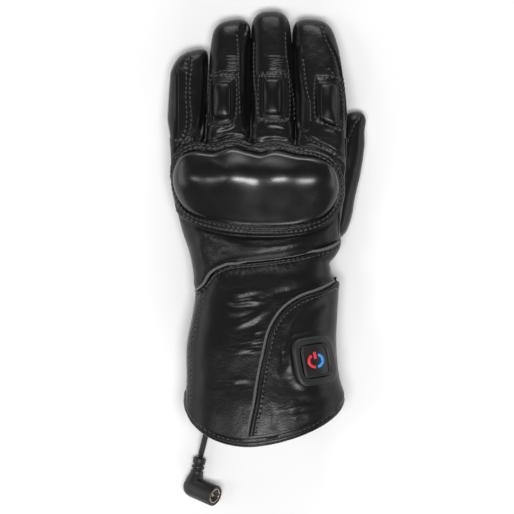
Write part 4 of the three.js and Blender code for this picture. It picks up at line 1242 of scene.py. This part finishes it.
def hem_band():
    """The turned band round the mouth: a rounded hook of a profile carried round the hem, with a
    stitched furrow and a slight waviness. Each step of the profile is how far it stands out from
    the skin and how far up from the hem it lies."""
    turn = full_turn(340)[None, :]
    across = section(turn)[0]
    over, width, inner = BINDING_THICKNESS, BINDING_WIDTH, -WALL - 0.2
    profile = [
        (over * 0.1, width + 1.2), (over * 0.5, width + 0.4), (over * 0.9, width - 1),
        (over * 0.95, 5.0), (over * 0.72, HEM_FURROW), (over * 0.95, 3.2), (over * 1.05, 1.9),
        (over * 0.75, 0.8), (0, 0.2), (-WALL / 2, 0), (inner, 0.2), (-WALL - over * 0.9, 1.0),
        (-WALL - over, 2.4),
        (-WALL - over, width - 0.8), (-WALL - over * 0.6, width), (inner, width), (inner, 2), (-0.2, 2),
        (-0.2, width),
    ]
    wave = 0.25 * swell(across * 60, np.sin(turn) * 60, 8, 17)
    rings = []
    for grow, up in profile:
        base = body_points(turn, hem_y(across) + up, rest=CUFF_REST)
        ahead = body_points(turn, hem_y(across) + up + 1.0, rest=CUFF_REST)
        out = np.cross(np.roll(base, -1, axis=1) - np.roll(base, 1, axis=1), ahead - base)
        out /= np.maximum(np.linalg.norm(out, axis=-1, keepdims=True), 1e-9)
        if np.einsum("ijk,ijk->", out, base - base.mean(axis=(0, 1))) < 0:
            out = -out
        rings.append((base + out * (grow + wave * (grow > 0))[..., None])[0])
    piece = ring_skin("hem_band", settled(np.array(rings)), [PANEL_LEATHER], closed=True)
    return rider(piece, "panel_leather", "hem_binding")


# The guard, the pads and the controller

def guard_heights(x, y):
    """The guard's swell: its own height plus four bell-shaped lobes, falling away towards the cuff."""
    half_width, half_length = 0.108 * GUARD_WIDTH, 0.27 * GUARD_LENGTH
    lobes = np.zeros(x.shape)
    for across, along, height in LOBE_ROWS:
        dx = (x - GUARD_MIDDLE[0] - across * GUARD_WIDTH) / half_width
        dy = (y - GUARD_MIDDLE[1] - (along - LOBE_SETBACK) * GUARD_LENGTH) / half_length
        lobes = lobes + height * np.exp(-np.abs(dx) ** 2.2 - dy * dy)
    fall = GUARD_FALL * smoothstep(GUARD_MIDDLE[1] + 5 - y, 0, 44)
    return GUARD_HEIGHT + LOBE_HEIGHT * lobes - fall


def shares_inwards(rings, bend):
    """The sizes of a moulding's rings: two at the outline, then closer and closer to its middle."""
    return np.concatenate([[1.0, 1.0], 1 - np.linspace(0, 1, rings)[1:] ** bend * 0.985])


def knuckle_shell():
    """The guard: rings from its outline to its middle. The edge rises steeply in a quarter round and
    the top is domed."""
    outline = GUARD_LINE[:-1]
    center = outline.mean(axis=0)
    shares = shares_inwards(52, 1.45)
    inward = (1 - shares)[:, None]
    rise = (1 - (1 - np.minimum(inward / 0.16, 1)) ** 2.3) ** (1 / 2.3)
    rise = 0.16 + 0.84 * (0.82 * rise + 0.18 * smoothstep(inward, 0, 0.6))
    spots = center + shares[:, None, None] * (outline - center)[None]
    x, y = spots[..., 0], spots[..., 1]
    grow = rise * guard_heights(x, y) - 1.0
    grow[0] = -2.2
    rings = grown_on_back(x, y, grow)
    piece = ring_skin("knuckle_shell", rings, [GUARD_SKIN], last_pole=True, first_pole=True)
    return rider(piece, "guard", "knuckle_guard")


def finger_top(finger, x, y):
    """The place on the back of a finger above a place in the plane."""
    at = finger_middle(finger, y)
    across = np.clip((x - at["x"]) / at["half"], -1, 1)
    return at["z"] + at["height"] * arch(across, finger_corner(y))


def finger_pad(row):
    """A moulded pad: rings from a rounded box outline, rising in a quarter round to a crowned top."""
    pad = dict(zip(PAD_COLUMNS, row))
    finger = next(one for one in FINGERS if one["name"] == pad["name"])
    middle_y = FINGER_LINE + finger["reach"] * pad["along"]
    at = finger_middle(finger, middle_y)
    half_width = pad["width"] * float(at["half"])
    half_length = pad["length"] * finger["reach"] / 2
    turn, corner = full_turn(72)[None, :], 5
    across, along = bent(np.cos(turn), corner), bent(np.sin(turn), corner)
    slant = np.where(along < 0, pad["slant"] * across * half_length * along, 0)
    x0 = float(at["x"]) + pad["across"] * finger["half"]
    shares = shares_inwards(30, 1.3)[:, None]
    x = x0 + shares * half_width * across
    y = middle_y + shares * (half_length * along + slant)
    inward = 1 - shares
    rise = (1 - (1 - np.minimum(inward / 0.22, 1)) ** 2) ** 0.5
    crown = (1 - (shares * across) ** 2) * (1 - (shares * along) ** 2)
    height = PAD_HEIGHT * (0.72 * rise + 0.7 * crown) - 0.8 + 0.15 * swell(x, y, 6, 61)
    height[0] = -1.6
    grid = np.stack([x, y, finger_top(finger, x, y) + height], axis=-1)
    piece = ring_skin(pad["name"] + "_moulding", grid, [PAD_LEATHER], last_pole=True, first_pole=True)
    rider(piece, "pad_leather", pad["name"] + "_pad")
    return piece


def on_controller(u, v):
    """Places across and along the controller, turned with it, as places in the plane."""
    a = math.radians(CONTROLLER["turn"])
    x = HEM_WIDTH * CONTROLLER["across"] + u * math.cos(a) - v * math.sin(a)
    y = WRIST_Y - CUFF_LENGTH * CONTROLLER["along"] + u * math.sin(a) + v * math.cos(a)
    return x, y


def controller_ring(width, length, count):
    """A rounded box's outline on the flap, turned a little, as points in the plane. The button's
    corners are tighter than the surround's."""
    corner = BEZEL_CORNER if width > BUTTON[0] + 1 else BUTTON_CORNER
    turn = full_turn(count)
    u, v = bent(np.cos(turn), corner) * width / 2, bent(np.sin(turn), corner) * length / 2
    return np.stack(on_controller(u, v), axis=1)


def controller_skin(name, profile, finish, node):
    """A turned-over cap of rounded boxes: each step of the profile is a width, a length and a height
    over the flap."""
    rings = []
    for width, length, height in profile:
        spots = controller_ring(width, length, 96)
        rings.append(grown_on_back(spots[:, 0], spots[:, 1], FLAP_FACE + height + 0 * spots[:, 0]))
    piece = ring_skin(name, np.array(rings), [finish], first_pole=True, last_pole=True)
    return rider(piece, "rubber", node)


def control_surround():
    """The controller's surround: a collar with a quarter-round edge and a pocket for the button."""
    width, length, height = BEZEL
    pocket_width, pocket_length = BUTTON[0] + 0.8, BUTTON[1] + 0.8
    edge = 1.6
    turns = np.linspace(0, np.pi / 2, 9)
    quarter = [(edge * (1 - math.cos(turn)), edge * (1 - math.sin(turn))) for turn in turns]
    rim = [(width - 2 * step, length - 2 * step, height - drop) for step, drop in quarter]
    pocket = [(pocket_width + step, pocket_length + step, height - drop)
              for step, drop in ((1.6, 0), (0.9, 0.15), (0.3, 0.6), (0, 1.6))]
    profile = [(0.4, 0.5, -1.2), (width, length, -1.2), (width, length, 0.6), *rim, *pocket,
               (0.4, 0.5, height - 1.6)]
    return controller_skin("control_surround", profile, RUBBER, "control_bezel")


def control_membrane():
    """The button: a raised plate with a thin lip round it."""
    width, length = BUTTON
    top = BEZEL[2] + 0.35
    steps = [(0, 2.2), (0, 0.5), (0.25, 0.12), (0.8, 0), (1.7, 0), (2.2, 0.3), (3.4, 0.34)]
    lip = [(width - step, length - step, top - drop) for step, drop in steps]
    profile = [(0.3, 0.4, top - 2.2), *lip, (width * 0.4, length * 0.4, top - 0.2),
               (0.3, 0.4, top - 0.18)]
    return controller_skin("control_membrane", profile, BUTTON_SKIN, "control_button")


def controller_mark():
    """A plain power mark: two half rings, one red and one blue, with a short red bar in the gap."""
    top = FLAP_FACE + BEZEL[2] + 0.15
    ring = np.array([3.4, 5.1])[None, :]

    def plate(name, u, v, finish):
        """A thin plate on the button, from its places across and along the controller."""
        x, y = on_controller(u, v)
        face, back = grown_on_back(x, y, top + 0.1), grown_on_back(x, y, top - 0.25)
        rider(sheet_skin(name, face, back, [finish]), "rubber")

    arcs = [("mark_left", 118, 262, MARK_RED), ("mark_right", -82, 62, MARK_BLUE)]
    for name, start, end, finish in arcs:
        turn = np.linspace(math.radians(start), math.radians(end), 40)[:, None]
        plate(name, ring * np.cos(turn), ring * np.sin(turn), finish)
    u, v = np.meshgrid(np.linspace(-0.85, 0.85, 4), np.linspace(1.3, 6.0, 12))
    plate("mark_bar", u, v, MARK_RED)


# Piping, welts and stitches

def dropped(tree, spots, lift):
    """Places in the plane laid on the finished skins below, and raised by a lift along their normals.
    A place with no skin below it, or only a steep one, is left out. The last result says which stay."""
    above, down, steep = 0.2, Vector((0, 0, -1)), 0.2
    laid, ways, kept = [], [], []
    for i, (x, y) in enumerate(spots):
        hit, normal, _, _ = tree.ray_cast(Vector((x * MM, y * MM, above)), down)
        if hit is None or abs(normal.z) < steep:
            continue
        if normal.z < 0:
            normal = -normal
        laid.append(tuple(hit / MM + normal * lift))
        ways.append(tuple(normal))
        kept.append(i)
    return np.array(laid), np.array(ways), kept


def skin_tree(pieces):
    """All skins as one tree of faces for laying things on."""
    corners, faces = [], []
    for mesh in (piece.data for piece in pieces):
        places = np.empty(3 * len(mesh.vertices), dtype=np.float32)
        mesh.vertices.foreach_get("co", places)
        around = np.empty(len(mesh.loops), dtype=np.int32)
        mesh.loops.foreach_get("vertex_index", around)
        starts = np.empty(len(mesh.polygons), dtype=np.int32)
        mesh.polygons.foreach_get("loop_start", starts)
        faces += [face.tolist() for face in np.split(around + len(corners), starts[1:])]
        corners += places.reshape(-1, 3).tolist()
    return BVHTree.FromPolygons(corners, faces)


def softened(path, passes):
    """A line of 3-D points with its jumps smoothed out: each point moves to the mean of itself and
    its neighbours' mean, over several passes."""
    path = path.copy()
    for _ in range(passes):
        path[1:-1] = 0.5 * path[1:-1] + 0.25 * (path[:-2] + path[2:])
    return path


def cord_on_skin(name, tree, spots, sink, node):
    """A round cord of piping laid along a line on the skins, sunk a little, with tapered, closed
    ends. Where it would fall into a seam's gap, it goes straight on from where it last rested."""
    laid, _, _ = dropped(tree, spots, PIPING_RADIUS - sink)
    gap_depth = 2.5
    order = np.arange(len(laid))
    resting = laid[:, 2] > on_back(laid[:, 0], laid[:, 1])[..., 2] - gap_depth
    laid[:, 2] = np.interp(order, order[resting], laid[resting, 2])
    path = softened(laid, 6)
    path[:, 2] = np.maximum(path[:, 2], laid[:, 2])
    path = softened(path, 2)
    radii = PIPING_RADIUS * (0.25 + 0.75 * smoothstep(np.minimum(order, order[::-1]), 0, 4))
    piece = ring_skin(name, tube(path, radii, 12), [PIPING], first_pole=True, last_pole=True)
    rider(piece, "piping", node)


def stitch_shape():
    """One stitch, 1 long and 1 thick: six rings of six corners, bowed upwards, with pointed ends."""
    along = np.array([-0.5, -0.4, -0.15, 0.15, 0.4, 0.5])
    thick = np.array([0.35, 0.85, 1, 1, 0.85, 0.35])
    bow = np.array([-0.9, -0.2, 0.35, 0.35, -0.2, -0.9])
    turn = full_turn(6)
    across = thick[:, None] * np.cos(turn)[None, :]
    up = thick[:, None] * np.sin(turn)[None, :] + bow[:, None]
    length = np.repeat(along[:, None], 6, axis=1)
    return np.stack([length, across, up], axis=-1).reshape(-1, 3)


def stitching(name, tree, rows):
    """Rows of stitches as one mesh: the stitch shape is set at each pitch, turned along its row and
    seated on the skin."""
    shape = stitch_shape() * (STITCH_LENGTH, THREAD_RADIUS, THREAD_RADIUS)
    quads = grid_faces(6, 6, around=True)
    first, last = np.arange(6)[::-1], 30 + np.arange(6)
    fans = [np.stack([end[0] + 0 * end[1:-1], end[1:-1], end[2:]], axis=1) for end in (first, last)]
    ends = np.stack(fans).reshape(-1, 3)
    corners, blocks, caps = [], [], []
    for row in rows:
        length = np.linalg.norm(np.diff(row, axis=0), axis=1).sum()
        spots = line(row, length / max(round(length / STITCH_PITCH), 2))
        middles = (spots[:-1] + spots[1:]) / 2
        ways = spots[1:] - spots[:-1]
        ways /= np.linalg.norm(ways, axis=1, keepdims=True)
        laid, ups, kept = dropped(tree, middles, THREAD_LIFT)
        for middle, way, up in zip(laid, ways[kept], ups):
            ahead = np.array((*way, 0)) - np.dot((*way, 0), up) * up
            ahead /= np.linalg.norm(ahead)
            aside = np.cross(up, ahead)
            start = len(shape) * len(corners)
            corners.append(middle + shape @ np.stack([ahead, aside, up]))
            blocks.append(quads + start)
            caps.append(ends + start)
    piece = made(name, np.vstack(corners), [np.vstack(blocks), np.vstack(caps)], [THREAD])
    rider(piece, "leather")


# The lead and its plug

def lead_cord():
    """The lead: a round tube along its route."""
    route = line(LEAD_ROUTE, 1.0)
    radii = np.full(len(route), LEAD_DIAMETER / 2)
    piece = ring_skin("power_lead", tube(route, radii, 16), [RUBBER], first_pole=True, last_pole=True)
    rider(piece, "rubber", "lead")
    return piece, route


def turned_skin(name, profile, sides, start, heading, finish, slot, node, closed=False):
    """A lathe-turned skin: each step of the profile is a radius and a height along the heading."""
    heading = heading / np.linalg.norm(heading)
    aside = np.cross(heading, (0, 0, 1))
    aside /= np.linalg.norm(aside)
    above = np.cross(aside, heading)
    turn = full_turn(sides)[None, :, None]
    radius = np.array([r for r, _ in profile])[:, None, None]
    height = np.array([h for _, h in profile])[:, None, None]
    rings = start + height * heading + radius * (np.cos(turn) * aside + np.sin(turn) * above)
    poles = not closed
    piece = ring_skin(name, rings, [finish], closed=closed, first_pole=poles, last_pole=poles)
    return rider(piece, slot, node)


def power_plug():
    """The right-angled socket: a stem with two grooves, a round-ended barrel, sleeve and pin, each
    turned from a profile of radii and heights."""
    heading = STEM_HEADING / np.linalg.norm(STEM_HEADING)
    elbow = STEM_TOP + STEM_LENGTH * heading
    collar, wide, face = COLLAR_RADIUS, BARREL_RADIUS, BARREL_LENGTH
    groove = [(0, 0), (0.2, 0.015), (0.2 * collar, 0.03), (0.2 * collar, 0.075), (0.2, 0.09), (0, 0.105)]
    waist = [(collar - depth, low + along) for low in (0.2, 0.36) for depth, along in groove]
    stem = [(0.2, 0), (0.62 * collar, 0), (0.9 * collar, 0.01), (collar, 0.04), *waist, (collar, 0.5),
            (1.1 * collar, 0.6), (0.84 * wide, 0.76), (0.93 * wide, 0.9), (0.95 * wide, 1.02),
            (0.8 * wide, 1.14), (0.1, 1.2)]
    stem = [(radius, share * STEM_LENGTH) for radius, share in stem]
    bore, edge, post_outside, post_inside = 5.7, 0.9, 4.5, 3.9
    floor = face - 9.5
    heel = [(wide * math.cos(t), wide * math.sin(t)) for t in np.linspace(-1.54, 0, 12)]
    lip = [(wide - edge + edge * math.cos(t), face - edge + edge * math.sin(t))
           for t in np.linspace(0, 1.4, 7)]
    barrel = [*heel, (wide, 0.5 * face), *lip, (bore + 0.3, face), (bore, face - 0.3), (bore, floor),
              (post_outside, floor), (post_outside, face - 0.9), (post_inside, face - 0.9),
              (post_inside, floor), (0.1, floor)]
    low, high = face - 9.2, face - 0.35
    sleeve = [(4.6, low), (5.5, low), (5.5, high - 0.2), (5.3, high), (4.8, high), (4.6, high - 0.2)]
    pin = [(0.02, low), (1.1, low), (1.1, face - 2.6), (0.8, face - 1.8), (0.05, face - 1.5)]
    return [
        turned_skin("plug_stem", stem, 48, STEM_TOP, heading, RUBBER, "rubber", "plug_body"),
        turned_skin("plug_barrel", barrel, 64, elbow, BARREL_HEADING, RUBBER, "rubber", "plug_body"),
        turned_skin("socket_sleeve", sleeve, 48, elbow, BARREL_HEADING, NICKEL, "steel", "plug_sleeve",
                    closed=True),
        turned_skin("socket_pin", pin, 24, elbow, BARREL_HEADING, NICKEL, "steel", "plug_pin"),
    ]


# Light and floor

def light(name, place, aim, size, power):
    """A rectangular lamp at a place, turned to an aim."""
    lamp = bpy.data.lights.new(name, "AREA")
    lamp.shape = "RECTANGLE"
    lamp.size, lamp.size_y = size
    lamp.energy = power
    placed = bpy.data.objects.new(name, lamp)
    placed.location = place
    placed.rotation_euler = (Vector(place) - Vector(aim)).to_track_quat("Z", "Y").to_euler()
    bpy.context.collection.objects.link(placed)


# The lamps: name, place, what they aim at, width and length, power
LAMPS = [
    ("overhead", (0.02, -0.24, 1.3), (0, 0.03, 0), (0.6, 0.28), 12.4),
    ("upper_left", (-0.78, -0.16, 1.1), (0, 0.03, 0), (0.26, 0.26), 1.5),
    ("left_side", (-2.2, 0.1, 0.6), (0, 0, 0), (2.6, 0.9), 15),
    ("right_side", (2.2, 0.1, 0.6), (0, 0, 0), (2.6, 0.9), 15),
    ("below_cuff", (0.1, -2.3, 0.9), (0, -0.05, 0), (1.6, 0.8), 24),
    ("past_fingers", (0.0, 2.4, 0.9), (0, 0.05, 0), (1.8, 0.8), 32),
]
WORLD_LIGHT = 0.05


def studio():
    """A white floor under a soft overhead lamp on the cuff's side and a small one at the upper left,
    with large low lamps on all four sides for the rims."""
    size = 6.0
    corners = [(-size, -size, 0), (size, -size, 0), (size, size, 0), (-size, size, 0)]
    mesh = bpy.data.meshes.new("floor")
    mesh.from_pydata(corners, [], [(0, 1, 2, 3)])
    mesh.materials.append(floor_paint())
    floor = bpy.data.objects.new("floor", mesh)
    bpy.context.collection.objects.link(floor)
    for lamp in LAMPS:
        light(*lamp)
    world = bpy.data.worlds.new("studio")
    world.use_nodes = True
    backdrop = world.node_tree.nodes["Background"]
    backdrop.inputs["Color"].default_value = (1, 1, 1, 1)
    backdrop.inputs["Strength"].default_value = WORLD_LIGHT
    bpy.context.scene.world = world
    bpy.context.scene.view_settings.view_transform = "Standard"


def hem_row():
    """The stitches along the hem's band, in its furrow, over the back from side to side."""
    across = np.linspace(-0.93, 0.93, 200)
    y = hem_y(across) + HEM_FURROW
    return line(np.stack([BODY["middle"](y) + BODY["half"](y) * across, y], axis=1), 1.5)


def build():
    """The camera and the lead first, then the studio, the leather, the mouldings and the trim."""
    camera()
    lead_piece, route = lead_cord()
    plug_pieces = power_plug()
    studio()
    hand, cuff = hand_leather(), cuff_leather()
    fingers = [finger_leather(finger) for finger in FINGERS]
    thumb = thumb_leather()
    flap, band = flap_leather(), hem_band()
    knuckle_shell()
    for row in PAD_ROWS:
        finger_pad(row)
    control_surround()
    control_membrane()
    controller_mark()
    grommet_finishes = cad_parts["lead_grommet"].data.materials
    grommet_finishes.clear()
    grommet_finishes.append(RUBBER)
    tree = skin_tree([hand, cuff, thumb, flap, band, *fingers])
    cord_on_skin("wrist_cord", tree, WRIST_PATH, -0.3, "wrist_piping")
    cord_on_skin("flap_cord", tree, moved_aside(FLAP_PATH, -0.7), 0.1, "flap_piping")
    stitching("hand_stitching", tree, HAND_STITCHES)
    stitching("cuff_stitching", tree, [WRIST_STITCHES, FLAP_STITCHES, hem_row()])


build()
